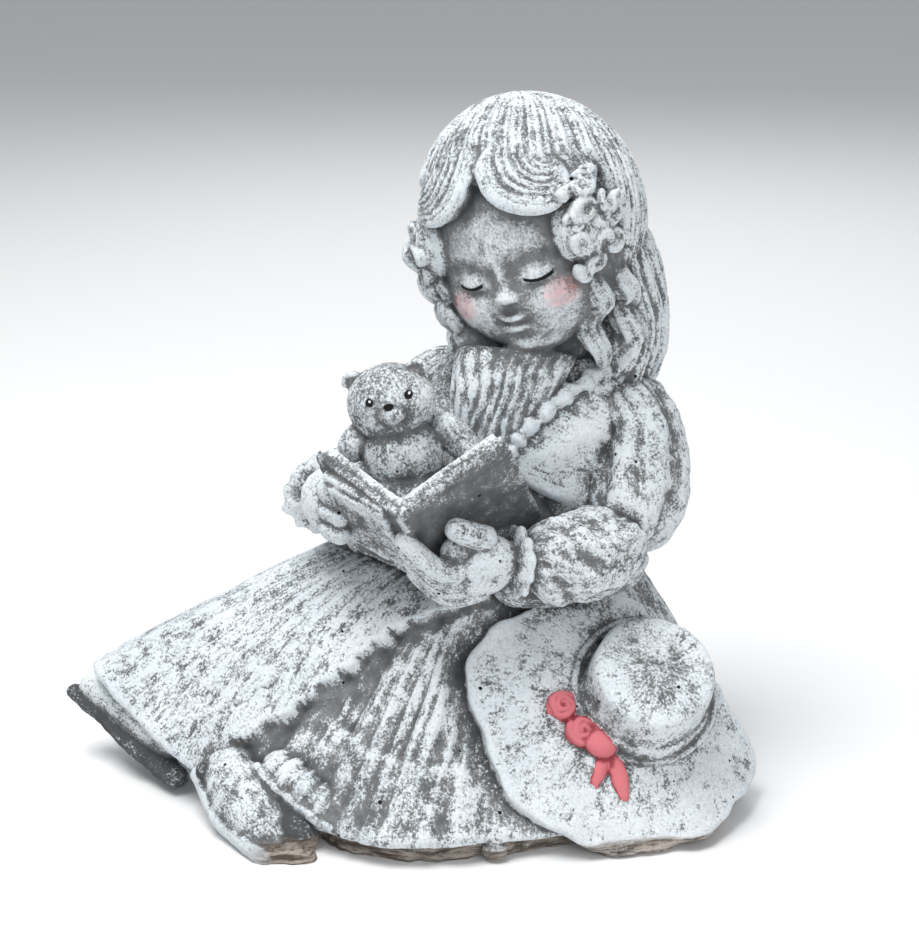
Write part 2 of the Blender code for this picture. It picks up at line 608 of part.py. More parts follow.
def ringlet(clay, points, radius, turns):
    """A corkscrew curl that winds as it hangs along points."""
    steps = round(8 * turns) + 1
    wound = spline(points, np.linspace(0, 1, steps))
    phase = np.linspace(0, 2 * math.pi * turns, steps)
    wound[:, 0] += 0.30 * radius * np.cos(phase)
    wound[:, 1] += 0.30 * radius * np.sin(phase)
    radii = radius * np.interp(np.linspace(0, 1, 9), (0, 0.2, 0.8, 1), (0.6, 0.78, 0.72, 0.4))
    clay.tube(wound, radii, side=(0, 1, 0), flutes=4, depth=0.10, around=14, along=110, twist=3)


def curl(clay, lon, lat, size, aspect, start):
    """A small tuft of a curl that bends round on the hair."""
    middle = on_head(lon, lat, -2.0)
    out = (middle - Vector((0, 0, HAIR_LIFT))).normalized()
    side = out.cross(Vector((0, 0, 1))).normalized()
    up = side.cross(out)
    steps = 11
    points = []
    for k in range(steps):
        t = k / (steps - 1)
        angle = start + 2 * math.pi * 0.85 * aspect * t
        reach = size * (0.95 - 0.5 * t)
        wide, high = reach * aspect * math.cos(angle), reach / aspect * math.sin(angle)
        points.append(middle + side * wide + up * high + out * 1.6 * t)
    thick = [0.28 * size, 0.55 * size, 0.62 * size, 0.34 * size]
    clay.tube(points, thick, flutes=3, depth=0.12, side=tuple(out), place=HEAD, around=10, along=40)


def hair(clay):
    """Parted fringe, curls beside the face, and long wavy hair that hangs behind to the shoulders."""
    strands = 27
    tilt = np.array(Matrix.Rotation(PARTING_LEAN, 3, "X"))

    def cap(u, v):
        turn, rise = 2 * math.pi * u, math.pi * v
        level = np.column_stack([np.sin(rise) * np.cos(turn), np.sin(rise) * np.sin(turn), -np.cos(rise)])
        wander = 0.9 * np.sin(5 * v + 2 * turn) + 0.5 * np.sin(13 * v + 5 * turn)
        swell = 0.010 * np.cos(strands * turn + wander) + 0.010 * np.cos(3 * strands * turn + 2.5 * wander)
        swell = 1 + swell * np.sin(rise)
        points = level @ tilt.T * (53, 47, 57) * swell[:, None]
        behind_face = smooth_step(-points[:, 1], 10, 30) * (1 - smooth_step(points[:, 2], 22, 40))
        points[:, 1] += 12 * behind_face
        points[:, 1] -= 9 * smooth_step(-points[:, 1], 0, 25) * smooth_step(points[:, 2], 18, 34)
        return points + (0, 8, HAIR_LIFT)

    clay.skin(cap, *HAIR_GRID, HEAD)
    clay.ball(on_head(40, 48, -20), (16, 16, 16), HEAD)
    clay.ball((53, 8, 216), (34, 17, 22), around=32, along=20)

    for outer, inner, grooves, lift in (
        (
            ((34, 84), (17, 66), (0, 49), (2, 38), (10, 27), (26, 18), (44, 16), (57, 26), (60, 37)),
            ((150, 84), (88, 75), (68, 64), (56, 54), (51, 48), (50, 44), (53, 42), (56, 43), (58, 44)),
            9,
            -0.5,
        ),
        (
            ((20, 84), (6, 66), (0, 50), (-3, 41), (-9, 31), (-21, 22), (-37, 18), (-52, 20), (-62, 26)),
            ((-120, 84), (-74, 75), (-60, 61), (-57, 48), (-56, 41), (-58, 37), (-60, 35), (-63, 33)),
            8,
            -0.5,
        ),
        (
            ((60, 84), (57, 73), (53, 62), (51, 53), (54, 46), (58, 40), (60, 30), (58, 20)),
            ((170, 84), (118, 72), (100, 60), (92, 50), (88, 42), (86, 34), (84, 26), (82, 18)),
            6,
            -1.8,
        ),
    ):
        swept_lock(clay, outer, inner, grooves, lift)

    def mantle(u, v):
        turn = 2 * math.pi * u
        lon = np.degrees(np.where(turn > math.pi, turn - 2 * math.pi, turn))
        far = smooth_step(np.abs(lon), 105, 175)
        reach = np.where(lon > 0, 57 - 9 * far, 47 + far)
        reach = reach - (reach - 26) * (1 - smooth_step(np.abs(lon), 48, 70))
        outline = [(0, 270), (38, 268), (46, 256), (50, 238), (52, 220), (50, 204), (40, 190), (0, 186)]
        profile = spline(outline, v)
        waves = 2.2 * np.sin(2 * math.pi * 2.3 * v + 2.5 * turn)
        strand = 1.6 * np.cos(34 * turn + waves) + 1.0 * np.cos(91 * turn + 2.3 * waves)
        r = profile[:, 0] / 52 * (reach + strand * smooth_step(v, 0.15, 0.3))
        droop = 5 * np.cos(8 * turn) * smooth_step(v, 0.6, 0.9)
        angle = turn + math.radians(HEAD_TURN)
        return np.column_stack([65 + r * np.sin(angle), 29 - r * np.cos(angle), profile[:, 1] + droop])

    clay.skin(mantle, *HAIR_GRID)
    for lon, lat in ((56, 0), (-58, 4)):
        clay.ball(on_head(lon, lat, -14), (14, 14, 16), HEAD)
    pinned = [on_head(44, 20, 0.5), on_head(53, 22, -1.5), on_head(62, 22, -1.5), on_head(72, 26, 0.5)]
    clay.tube(pinned, [3.8, 2.6, 2.6, 3.8], place=HEAD, around=24, along=40)
    chance = np.random.default_rng(5)
    near_spots = [(57, 13), (49, 5), (60, 4), (69, 12), (50, -4), (59, -6), (46, -13), (55, -16), (70, 1)]
    near_spots += [(66, 22), (76, 8), (58, 21), (66, -8), (52, 12)]
    far_spots = [(-60, 13), (-54, 4), (-64, 3), (-56, -6), (-66, -7), (-52, 12), (-62, -15)]
    for lon, lat in near_spots + far_spots:
        size, aspect, start = chance.uniform(3.2, 5.8), chance.uniform(0.7, 1.4), chance.uniform(0, 6)
        curl(clay, lon + chance.uniform(-2, 2), lat + chance.uniform(-2, 2), size, aspect, start)
    for route, radius, turns in (
        ([(82, -20, 262), (86, -20, 246), (84, -17, 230), (88, -12, 208)], 7.6, 2.2),
        ([(95, -10, 264), (97, -8, 246), (101, -5, 228), (100, -4, 204)], 8.6, 2.6),
        (LEFT_RINGLET, 5.0, 4.0),
        ([(0, 12, 262), (8, 12, 246), (17, 12, 230), (30, 12, 210)], 6.5, 3.5),
    ):
        ringlet(clay, route, radius, turns)


def hat(clay):
    """A soft brim that waves and droops over the skirt, and a low round crown."""
    place = hat_frame()

    def brim(u, v):
        reach = spline(np.array(BRIM_REACH, float)[:, None], u, closed=True)[:, 0]
        reach = reach + 1.3 * np.sin(2 * math.pi * 9 * u) + 0.5 * np.sin(2 * math.pi * 23 * u)
        turn = 2 * math.pi * u
        upper = v < 0.5
        share = np.where(upper, v / 0.46, (1 - v) / 0.46)
        share = np.clip(share, 0, 1)
        r = reach * share
        across, up = r * np.cos(turn), r * np.sin(turn)
        edge = smooth_step(v, 0.46, 0.54)
        backing = 16 + 16 * smooth_step(across, 5, 45)
        low = BRIM_THICKNESS + (backing - BRIM_THICKNESS) * smooth_step(1 - share, 0, 0.10)
        under = np.where(share < 1, ~upper * low, edge * BRIM_THICKNESS)
        lip = 0.8 * np.exp(-(((share - 0.97) / 0.03) ** 2)) * upper
        return np.column_stack([across, up, brim_shape(across, turn, share) - under + lip])

    clay.skin(brim, *BRIM_GRID, place)

    lean = Matrix.Translation((*CROWN_PLACE, 0)) @ Matrix.Rotation(CROWN_LEAN, 4, "X")

    def bowl(u, v):
        turn = 2 * math.pi * u
        profile = spline(
            [
                (0, -12), (CROWN_FOOT * 0.6, -12), (CROWN_FOOT, -10), (CROWN_FOOT, 1), (CROWN_TOP + 2.6, 4),
                (CROWN_TOP + 1.6, CROWN_HEIGHT * 0.45), (CROWN_TOP + 1.2, CROWN_HEIGHT * 0.84),
                (CROWN_TOP, CROWN_HEIGHT * 0.96), (CROWN_TOP - 2.5, CROWN_HEIGHT),
                (CROWN_TOP * 0.5, CROWN_HEIGHT * 1.02), (0, CROWN_HEIGHT * 1.03),
            ],
            v,
        )
        r = np.maximum(profile[:, 0], 0) * (1 + 0.012 * np.sin(3 * turn + 1) + 0.008 * np.sin(7 * turn))
        return np.column_stack([r * np.cos(turn), r * np.sin(turn), profile[:, 1]])

    clay.skin(bowl, *CROWN_GRID, place @ lean)
    ring = np.linspace(0, 2 * math.pi, 41)
    band = [(CROWN_PLACE[0] + 34 * math.cos(a), CROWN_PLACE[1] + 34 * math.sin(a), 0.6) for a in ring]
    clay.tube(band, [1.7] * len(band), place=place, around=8, along=80)
    roses(clay, place)


def roses(clay, place):
    """Two roses and the ends of their ribbon, on the brim beside the crown."""
    for x, y, size, start in ((-38.0, 2.5, 8.2, 0.4), (-30.8, -10.0, 8.6, 2.2)):
        spiral = []
        steps = 21
        for k in range(steps):
            t = k / (steps - 1)
            angle = start + 2 * math.pi * 2.3 * t
            reach = size * (0.72 - 0.62 * t) * (1 + 0.10 * math.sin(3.3 * angle))
            spiral.append((x + reach * math.cos(angle), y + reach * math.sin(angle), 2.0 + 1.8 * t))
        clay.ball((x, y, 0), (size * 0.95, size * 0.9, 3.6), place, 24, 14)
        clay.tube(spiral, [1.9, 2.0, 1.8, 1.3], place=place, around=8, along=64)
    for route, radii, flat in (
        ([(-30, -13, 1.8), (-24, -17, 3.0), (-17, -22, 1.8)], [5.0, 6.4, 5.0], 0.7),
        ([(-28, -8, 1.8), (-21, -13, 3.0), (-15, -19, 1.8)], [3.6, 4.2, 3.4], 0.7),
        ([(-22, -23, 1), (-25, -29, 1), (-30, -37, 0.5)], [2.8, 3.4, 1.4], 0.5),
        ([(-19, -22, 1), (-17, -33, 1), (-16, -45, 0.5)], [3.0, 4.2, 1.5], 0.5),
    ):
        clay.tube(route, radii, flat=flat, place=place)


def finish_of_stone():
    """Whitewashed grey concrete."""
    stone = bpy.data.materials.new("whitewashed_stone")
    stone.use_nodes = True
    shader = stone.node_tree.nodes["Principled BSDF"]
    shader.inputs["Base Color"].default_value = (0.55, 0.58, 0.60, 1)
    shader.inputs["Roughness"].default_value = 0.9
    shader.inputs["Metallic"].default_value = 0.0
    return stone


def evaluated_mesh(obj):
    bpy.context.view_layer.update()
    graph = bpy.context.evaluated_depsgraph_get()
    return bpy.data.meshes.new_from_object(obj.evaluated_get(graph))


def fuse(clay, name):
    """Joins the gathered forms in one skin, softens and thins it, and cuts it flat at the ground."""
    mesh = bpy.data.meshes.new(name)
    clay.mesh.to_mesh(mesh)
    clay.mesh.free()
    mesh.transform(Matrix.Scale(GRAIN, 4))
    statue = bpy.data.objects.new(name, mesh)
    bpy.context.collection.objects.link(statue)
    fused = statue.modifiers.new("fuse", "REMESH")
    fused.mode = "VOXEL"
    fused.voxel_size = CARVING_CELL
    soften = statue.modifiers.new("soften", "SMOOTH")
    soften.iterations = 3
    soften.factor = 0.4
    thin = statue.modifiers.new("thin", "DECIMATE")
    thin.use_collapse_triangulate = True
    thin.ratio = 1.0
    whole = evaluated_mesh(statue)
    whole.calc_loop_triangles()
    thin.ratio = min(1.0, MOST_FACES / len(whole.loop_triangles))
    statue.data = evaluated_mesh(statue)
    statue.modifiers.clear()
    cut_flat(statue.data)
    keep_outer_skin(statue.data)
    points = np.array([v.co for v in statue.data.vertices])
    middle = (points.min(axis=0) + points.max(axis=0)) / 2
    statue.data.transform(Matrix.Translation((-middle[0], -middle[1], 0)))
    statue.data.materials.append(finish_of_stone())
    statue.data.shade_smooth()
    return statue


def keep_outer_skin(mesh):
    """Leaves the largest of the mesh's skins: smaller ones wrap bubbles that the forms closed in."""
    whole = bmesh.new()
    whole.from_mesh(mesh)
    left = set(whole.faces)
    skins = []
    while left:
        start = left.pop()
        skin, edge = [start], [start]
        while edge:
            face = edge.pop()
            for side in face.edges:
                for beside in side.link_faces:
                    if beside in left:
                        left.discard(beside)
                        skin.append(beside)
                        edge.append(beside)
        skins.append(skin)
    skins.sort(key=len)
    for skin in skins[:-1]:
        bmesh.ops.delete(whole, geom=skin, context="FACES")
    whole.to_mesh(mesh)
    whole.free()


def cut_flat(mesh):
    """Takes away what is under the ground and closes the flat underside."""
    solid = bmesh.new()
    solid.from_mesh(mesh)
    cut = bmesh.ops.bisect_plane(
        solid, geom=solid.verts[:] + solid.edges[:] + solid.faces[:], plane_co=(0, 0, 0), plane_no=(0, 0, 1),
        clear_inner=True,
    )
    rim = [e for e in cut["geom_cut"] if isinstance(e, bmesh.types.BMEdge)]
    bmesh.ops.holes_fill(solid, edges=rim)
    bmesh.ops.triangulate(solid, faces=solid.faces)
    solid.to_mesh(mesh)
    solid.free()


def main():
    for obj in list(bpy.data.objects):
        bpy.data.objects.remove(obj)
    clay = Clay()
    dress = (skirt, shoes, trunk, sash, pleats_and_collar)
    held = (near_arm, far_arm, lap_core, book, bear)
    for form in (*dress, *held, face, hair, hat):
        form(clay)
    fuse(clay, "girl_reading_statue")


main()
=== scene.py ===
"""The looks of the whitewashed cast-stone garden statue: a seated girl who reads, with a bear and a hat.

The statue is sculpted again here, finer than in the frame, as one skin that stands for the frame's solid.
Its points are in grains, which are about a millimetre; the frame's box gives their real size and place.
"""

import json
import math

import bmesh
import bpy
import numpy as np
from mathutils import Matrix, Vector
from mathutils.bvhtree import BVHTree

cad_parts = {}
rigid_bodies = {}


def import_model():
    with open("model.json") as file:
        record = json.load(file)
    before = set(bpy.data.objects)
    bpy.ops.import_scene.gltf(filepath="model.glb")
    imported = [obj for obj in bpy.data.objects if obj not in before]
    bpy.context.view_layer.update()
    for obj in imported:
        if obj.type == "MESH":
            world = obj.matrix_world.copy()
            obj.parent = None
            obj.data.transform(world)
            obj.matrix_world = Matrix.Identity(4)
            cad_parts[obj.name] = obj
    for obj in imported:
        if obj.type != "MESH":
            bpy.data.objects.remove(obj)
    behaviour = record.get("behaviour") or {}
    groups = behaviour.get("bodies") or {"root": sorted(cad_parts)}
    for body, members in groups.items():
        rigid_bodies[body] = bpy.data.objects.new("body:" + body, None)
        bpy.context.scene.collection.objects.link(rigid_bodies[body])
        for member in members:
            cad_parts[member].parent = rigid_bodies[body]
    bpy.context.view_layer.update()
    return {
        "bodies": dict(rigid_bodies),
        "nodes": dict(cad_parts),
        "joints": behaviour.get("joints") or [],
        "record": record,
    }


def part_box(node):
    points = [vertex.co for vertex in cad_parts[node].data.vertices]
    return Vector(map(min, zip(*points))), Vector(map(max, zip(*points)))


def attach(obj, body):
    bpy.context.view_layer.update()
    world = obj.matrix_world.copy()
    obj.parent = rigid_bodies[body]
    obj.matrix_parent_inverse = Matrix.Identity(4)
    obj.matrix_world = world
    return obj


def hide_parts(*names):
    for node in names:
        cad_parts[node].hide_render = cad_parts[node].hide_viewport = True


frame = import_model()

NODE = "girl_reading_statue"
BOX_LOW, BOX_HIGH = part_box(NODE)

# The skin that fuses the forms, and how it is softened and thinned.
CARVING_CELL = 1.05
SOFTEN_ROUNDS, SOFTEN_SHARE = 2, 0.4
MOST_TRIANGLES = 196000
# A vertex is compared with itself after a few rounds of smoothing for ridges, and after many for swells.
RIDGE_ROUNDS, SWELL_ROUNDS = 3, 40
# How far apart two forms are in the brush's noise, so that no stroke runs on from one to the next.
BRUSH_APART = 3.7
# The bare cast edge: over which heights and along which stretch of X it sets in, and the size of its layers.
BARE_TOP, BARE_START, STRATA_SIZE = (5, 10), (-58, -44), (16, 16, 2.6)

# How many faces the larger skins have around and along.
SKIRT_GRID = (900, 190)
BLOUSE_GRID = (300, 60)
JACKET_GRID = (200, 50)
FACE_GRID = (300, 240)
HAIR_GRID = (620, 120)
LOCK_GRID = (220, 160)
BRIM_GRID = (320, 120)
CROWN_GRID = (140, 150)
LEAF_CUTS = 10

HEAD_MIDDLE = (57, 14, 265)
HEAD_TURN = -22
HEAD_NOD = 13
HEAD_LEAN = -14
HAIR_RADII = (54, 54, 57)
CAP_RADII = (53, 47, 57)
HAIR_LIFT = 8
PARTING_LEAN = math.radians(-26)
MANTLE_MIDDLE = (65, 29)
RINGLET_SWAY = 0.30
TRUNK_TURN = math.radians(-40)
WAIST = (60, 20)
LAP_HEIGHT = 109
# Around the skirt: x, y, height, how far out the lap reaches, how round its fall is, how far it tucks in.
HEM = (
    (-153, 4, 50, 0.42, 1.10, 22),
    (-127, -26, 34, 0.42, 1.35, 20),
    (-99, -49, 21, 0.42, 1.60, 12),
    (-64, -68, 15, 0.42, 1.60, 8),
    (-32, -96, 13, 0.42, 1.30, 6),
    (-3, -106, 12, 0.42, 1.15, 5),
    (36, -101, 12, 0.40, 1.00, 5),
    (78, -88, 10, 0.38, 0.92, 4),
    (112, -73, 8, 0.36, 0.90, 2),
    (137, -50, 8, 0.36, 0.92, 2),
    (153, -24, 8, 0.40, 1.02, 2),
    (160, 12, 8, 0.44, 1.15, 2),
    (149, 52, 8, 0.42, 1.15, 2),
    (117, 84, 8, 0.40, 1.15, 2),
    (70, 101, 8, 0.38, 1.20, 2),
    (18, 103, 8, 0.38, 1.25, 2),
    (-38, 93, 9, 0.38, 1.35, 3),
    (-92, 73, 16, 0.40, 1.35, 8),
    (-136, 44, 36, 0.42, 1.20, 18),
)
SKIRT_FOLDS = 24
FLOUNCE_PLEATS = 46
FLOUNCE_START = 0.83
APRON_FROM = 16.6
APRON_TO = (
    (0.00, 5.4), (0.46, 5.3), (0.50, 4.6), (0.55, 3.9), (0.63, 3.45),
    (0.72, 3.2), (0.80, 2.95), (0.87, 2.65), (0.94, 2.25), (1.00, 2.05),
)
APRON_LIFT = 5.4
APRON_SCALLOPS = 21
CUFF_BREADTH, CUFF_FRILLS = 7, 11
BEAR_HEAD_MIDDLE = (-8, -35, 198)
HAT_MIDDLE = (107.5, -55, 57.5)
HAT_FACES = (0.20, -0.77, 0.60)
BRIM_REACH = (46, 38, 38, 45, 57, 64, 83, 77, 77, 74, 70, 67, 65, 66)
BRIM_THICKNESS = 5
BRIM_DROOP = 0.009
CROWN_FOOT, CROWN_TOP, CROWN_HEIGHT = 31.5, 27, 23
CROWN_PLACE = (3.0, 5.5)
CROWN_LEAN = math.radians(-11)
ROSE_TURNS = 2.3

CAMERA_PLACE = (23, -951.1, 466)
CAMERA_TILT = math.radians(72)
CAMERA_LENS = 81.55
FLOOR_REACH = 6
SKY_STRENGTH = 0.40
# Each light's name, place in metres, the height it aims at, breadth and watts.
LIGHTS = (
    ("sky", (-0.40, -0.25, 1.5), 0.12, 0.9, 21),
    ("window", (0.7, -1.4, 0.75), 0.15, 1.0, 7.5),
    ("back", (0.2, 1.4, 1.3), 0.15, 1.2, 9),
)

# A form's finish: how white the brush leaves it, which also paints shade where it is low, how long and wide
# its strokes are, and how rumpled it is.
CLOTH = (-0.04, 9.0, 1.5, 0.45)
JACKET = (0.42, 7.0, 1.7, 1.0)
SLEEVE = (0.0, 9.0, 2.2, 1.3)
FOREARM = (-0.22, 8.0, 2.2, 1.4)
HAIR = (0.10, 11.0, 1.2, 0.2)
RINGLET = (0.0, 7.0, 1.1, 0.8)
# SKIN's low first value leaves the face greyer, and partly paints the shade on the lowered face.
SKIN = (-0.32, 4.0, 2.5, 0.0)
SMOOTH = (-0.02, 7.0, 1.8, 0.3)
# DARK leaves forms grey; under the chin, behind the bear and in the lap between the arms this grey is
# painted shade.
DARK = (-0.6, 6.0, 2.0, 0.5)
# SHADE is painted shade: it leaves the undersides beneath the apron dark grey.
SHADE = (-1.2, 6.0, 2.0, 1.0)
BOOK = (-0.80, 9.0, 2.0, 0.35)
FUR = (-0.44, 3.0, 1.1, 0.7)
ROSE = (2.0, 4.0, 2.0, 0.3)
FELT = (0.50, 5.0, 1.5, 0.9)

STONE_DARK, STONE_LIGHT = (0.125, 0.13, 0.135, 1), (0.24, 0.247, 0.25, 1)
# Painted shade: a near-black grey for the deepest hollows, and a dark grey for the forms left grey as shade.
HOLLOW_SHADE, STONE_SHADED = (0.035, 0.037, 0.042, 1), (0.055, 0.057, 0.06, 1)
STONE_GRAIN = (0.10, 0.105, 0.11, 1)
WASH_THIN, WASH_THICK = (0.72, 0.78, 0.82, 1), (0.80, 0.85, 0.88, 1)
EARTH_DARK, EARTH_PALE = (0.085, 0.062, 0.045, 1), (0.40, 0.35, 0.30, 1)
ROSE_DEEP, ROSE_PINK, BLUSH_PINK = (0.36, 0.06, 0.075, 1), (0.68, 0.19, 0.215, 1), (0.70, 0.30, 0.32, 1)
# The lashes are black paint; the pinholes' black is painted shade inside them.
LASH_BLACK, PIT_SHADE_BLACK = (0.010, 0.010, 0.012, 1), (0.012, 0.012, 0.013, 1)
# The bear's eyes and nose are black paint; the white beside them is a painted highlight in each eye.
BEAR_BLACK, EYE_GLINT_WHITE = (0.008, 0.008, 0.009, 1), (0.85, 0.86, 0.87, 1)
FLOOR_PALE, SKY_PALE = (0.86, 0.86, 0.86, 1), (0.95, 0.97, 1.0, 1)


def spline(points, t, closed=False):
    """Places on the smooth curve through points, at each share t of its run."""
    points = np.asarray(points, float)
    if closed:
        spans = len(points)
        ring = np.vstack([points[-1:], points, points[:2]])
    else:
        spans = len(points) - 1
        ring = np.vstack([2 * points[0] - points[1], points, 2 * points[-1] - points[-2]])
    run = np.clip(t, 0, 1) * spans
    index = np.minimum(run.astype(int), spans - 1)
    f = (run - index)[:, None]
    a, b, c, d = (ring[index + k] for k in range(4))
    return b + 0.5 * f * (c - a + f * (2 * a - 5 * b + 4 * c - d + f * (3 * (b - c) + d - a)))


def unit(vectors):
    return vectors / np.maximum(np.linalg.norm(vectors, axis=-1, keepdims=True), 1e-9)


def smooth_step(x, low, high):
    x = np.clip((x - low) / (high - low), 0, 1)
    return x * x * (3 - 2 * x)


def bell(x, middle, width):
    """A soft hump that is 1 at its middle and dies away over width to each side."""
    return np.exp(-(((x - middle) / width) ** 2))


def quarter_round(x):
    """Climbs from 0 to 1 as a quarter circle does, and stays there."""
    return np.sqrt(np.clip(1 - (1 - np.minimum(x, 1)) ** 2, 0, 1))


def rounded_ends(v, power):
    """1 along most of v's run, and rounded down to 0 at both its ends; a higher power rounds them less."""
    return np.sqrt(np.clip(1 - np.abs(2 * v - 1) ** power, 0, 1))


def sphere(turn, rise):
    """Places on a ball of radius 1, at each turn about the upright and rise from its foot."""
    return np.column_stack([np.sin(rise) * np.cos(turn), np.sin(rise) * np.sin(turn), -np.cos(rise)])


def grit(points, size, seed):
    """Soft noise from -1 to 1 at each point, with lumps of about size."""
    cells = 32
    lattice = np.random.default_rng(seed).random((cells, cells, cells)) * 2 - 1
    place = np.asarray(points, float) / size
    low = np.floor(place).astype(int)
    f = place - low
    f = f * f * (3 - 2 * f)
    total = 0
    for corner in range(8):
        step = np.array([corner & 1, corner >> 1 & 1, corner >> 2 & 1])
        at = (low + step) % cells
        weight = np.prod(np.where(step, f, 1 - f), axis=1)
        total = total + weight * lattice[at[:, 0], at[:, 1], at[:, 2]]
    return total


def turned(turn, nod, lean, middle):
    """The place of a form that turns about the upright, nods forwards and leans sideways, in degrees."""
    return (
        Matrix.Translation(middle)
        @ Matrix.Rotation(math.radians(turn), 4, "Z")
        @ Matrix.Rotation(math.radians(nod), 4, "X")
        @ Matrix.Rotation(math.radians(lean), 4, "Y")
    )


HEAD = turned(HEAD_TURN, HEAD_NOD, HEAD_LEAN, HEAD_MIDDLE)
BEAR_HEAD = turned(-6, 4, -12, BEAR_HEAD_MIDDLE)
UPRIGHT = Matrix.Identity(4)


class Clay:
    """The forms of the statue in one mesh, with a record of how the brush ran over each."""

    def __init__(self):
        self.mesh = bmesh.new()
        self.points = []
        self.brush = []
        self.sides = []
        self.count = 0
        self.forms = 0
        self.tree = None

    def under(self, places):
        """For each place, the nearest spot on the forms and how the brush ran there."""
        points, brush = np.vstack(self.points), np.vstack(self.brush)
        if self.tree is None:
            self.tree = BVHTree.FromPolygons(points.tolist(), self.sides)
            self.sides = np.array(self.sides)
        nearest = [self.tree.find_nearest(place) for place in places.tolist()]
        spots = np.array([n[0] for n in nearest])
        side = self.sides[[n[2] for n in nearest]]
        a, b, c = (points[side[:, k]] for k in range(3))
        face = np.cross(b - a, c - a)
        area = np.maximum((face**2).sum(1), 1e-12)
        share_a = (np.cross(c - b, spots - b) * face).sum(1) / area
        share_b = (np.cross(a - c, spots - c) * face).sum(1) / area
        shares = np.column_stack([share_a, share_b, 1 - share_a - share_b])
        return spots, sum(brush[side[:, k]] * shares[:, k : k + 1] for k in range(3))

    def gather(self, patch):
        bmesh.ops.recalc_face_normals(patch, faces=patch.faces)
        made = bpy.data.meshes.new("form")
        patch.to_mesh(made)
        patch.free()
        self.mesh.from_mesh(made)
        bpy.data.meshes.remove(made)

    def remember(self, patch, points, across, along, finish):
        """Keeps the form's triangles, so that the brush's way can be read back from any place on them."""
        wash_and_shade, long, wide, rumple = finish
        self.forms += 1
        size = len(points)
        self.points.append(points)
        same = np.ones(size)
        way = (across / wide, along / long, same * self.forms * BRUSH_APART)
        self.brush.append(np.column_stack([*way, same * wash_and_shade, same * rumple]))
        patch.verts.ensure_lookup_table()
        for face in patch.faces:
            corners = [v.index + self.count for v in face.verts]
            self.sides.extend((corners[0], corners[k], corners[k + 1]) for k in range(1, len(corners) - 1))
        self.count += size

    def skin(self, surface, around, along, place=UPRIGHT, finish=CLOTH):
        """A closed skin: a grid is wrapped so that its long sides meet and its ends shrink to poles."""
        patch = bmesh.new()
        bmesh.ops.create_grid(patch, x_segments=around, y_segments=along, size=0.5)
        flat = np.array([v.co for v in patch.verts])
        u, v = flat[:, 0] + 0.5, flat[:, 1] + 0.5
        turn = np.array(place)
        wrapped = surface(u, v) @ turn[:3, :3].T + turn[:3, 3]
        for vertex, point in zip(patch.verts, wrapped, strict=True):
            vertex.co = point
        girth = np.linalg.norm(np.ptp(wrapped, axis=0)) * 1.2
        samples = 24
        rows = surface(np.zeros(samples), np.linspace(0, 1, samples))
        if callable(finish[0]):
            finish = (finish[0](u, v), *finish[1:])
        length = np.linalg.norm(np.diff(rows, axis=0), axis=1).sum()
        self.remember(patch, wrapped, u * girth, v * length, finish)
        bmesh.ops.remove_doubles(patch, verts=patch.verts, dist=1e-3)
        self.gather(patch)

    def ball(self, middle, radii, place=UPRIGHT, around=20, along=12, finish=CLOTH):
        def surface(u, v):
            turn, rise = math.tau * u, math.pi * v
            return sphere(turn, rise) * radii + middle

        self.skin(surface, around, along, place, finish)

    def tube(
        self, points, radii, flat=1.0, side=(0, 0, 1), flutes=0, depth=0.0, place=UPRIGHT, around=14,
        along=22, finish=CLOTH, twist=0.0, folds=None,
    ):
        """A rounded tube along points. flat is its breadth along side, as a share of its radius.

        Its girth swells with flutes that run along it and twist round it, or as folds(turn, v) says.
        """
        radii = np.asarray(radii, float)[:, None]
        length = np.linalg.norm(np.diff(np.asarray(points, float), axis=0), axis=1).sum()

        def surface(u, v):
            middle = spline(points, v)
            ahead = unit(spline(points, v + 0.01) - spline(points, v - 0.01))
            across = unit(np.cross(ahead, np.asarray(side, float)))
            other = np.cross(across, ahead)
            radius = spline(np.hstack([radii, radii]), v)[:, :1]
            end = np.clip(0.9 * radius[:, 0] / length, 0.02, 0.5)
            rounded = quarter_round(np.minimum(v, 1 - v) / end)[:, None]
            turn, along_it = (math.tau * u)[:, None], v[:, None]
            ripple = folds(turn, along_it) if folds else depth * np.cos(flutes * turn + twist * along_it)
            swell = radius * rounded * (1 + ripple)
            return middle + swell * (across * np.cos(turn) + other * np.sin(turn) * flat)

        self.skin(surface, around, along, place, finish)

    def leaf(self, corners, thickness, finish=CLOTH):
        """A flat sheet between four corners, given in order, with its thickness shared to both sides."""
        corners = [Vector(c) for c in corners]
        face = (corners[1] - corners[0]).cross(corners[3] - corners[0]).normalized()
        patch = bmesh.new()
        bmesh.ops.create_cube(patch, size=1)
        bmesh.ops.subdivide_edges(patch, edges=patch.edges, cuts=LEAF_CUTS, use_grid_fill=True)
        shares = np.array([v.co for v in patch.verts]) + (0.5, 0.5, 0)
        for vertex, (s, t, w) in zip(patch.verts, shares, strict=True):
            near, far = corners[0].lerp(corners[1], s), corners[3].lerp(corners[2], s)
            vertex.co = near.lerp(far, t) + face * w * thickness
        points = np.array([v.co for v in patch.verts])
        wide, long = (corners[1] - corners[0]).length, (corners[3] - corners[0]).length
        self.remember(patch, points, shares[:, 0] * wide, shares[:, 1] * long, finish)
        self.gather(patch)


def hat_frame():
    """Where the hat lies: its own X runs across the brim, Y up the slope, and Z out of the crown."""
    out = Vector(HAT_FACES).normalized()
    across = Vector((0, 0, 1)).cross(out).normalized()
    up = out.cross(across)
    frame = Matrix((across, up, out)).transposed().to_4x4()
    return Matrix.Translation(HAT_MIDDLE) @ frame


def brim_reach(share_of_turn):
    return spline(np.array(BRIM_REACH, float)[:, None], share_of_turn, closed=True)[:, 0]


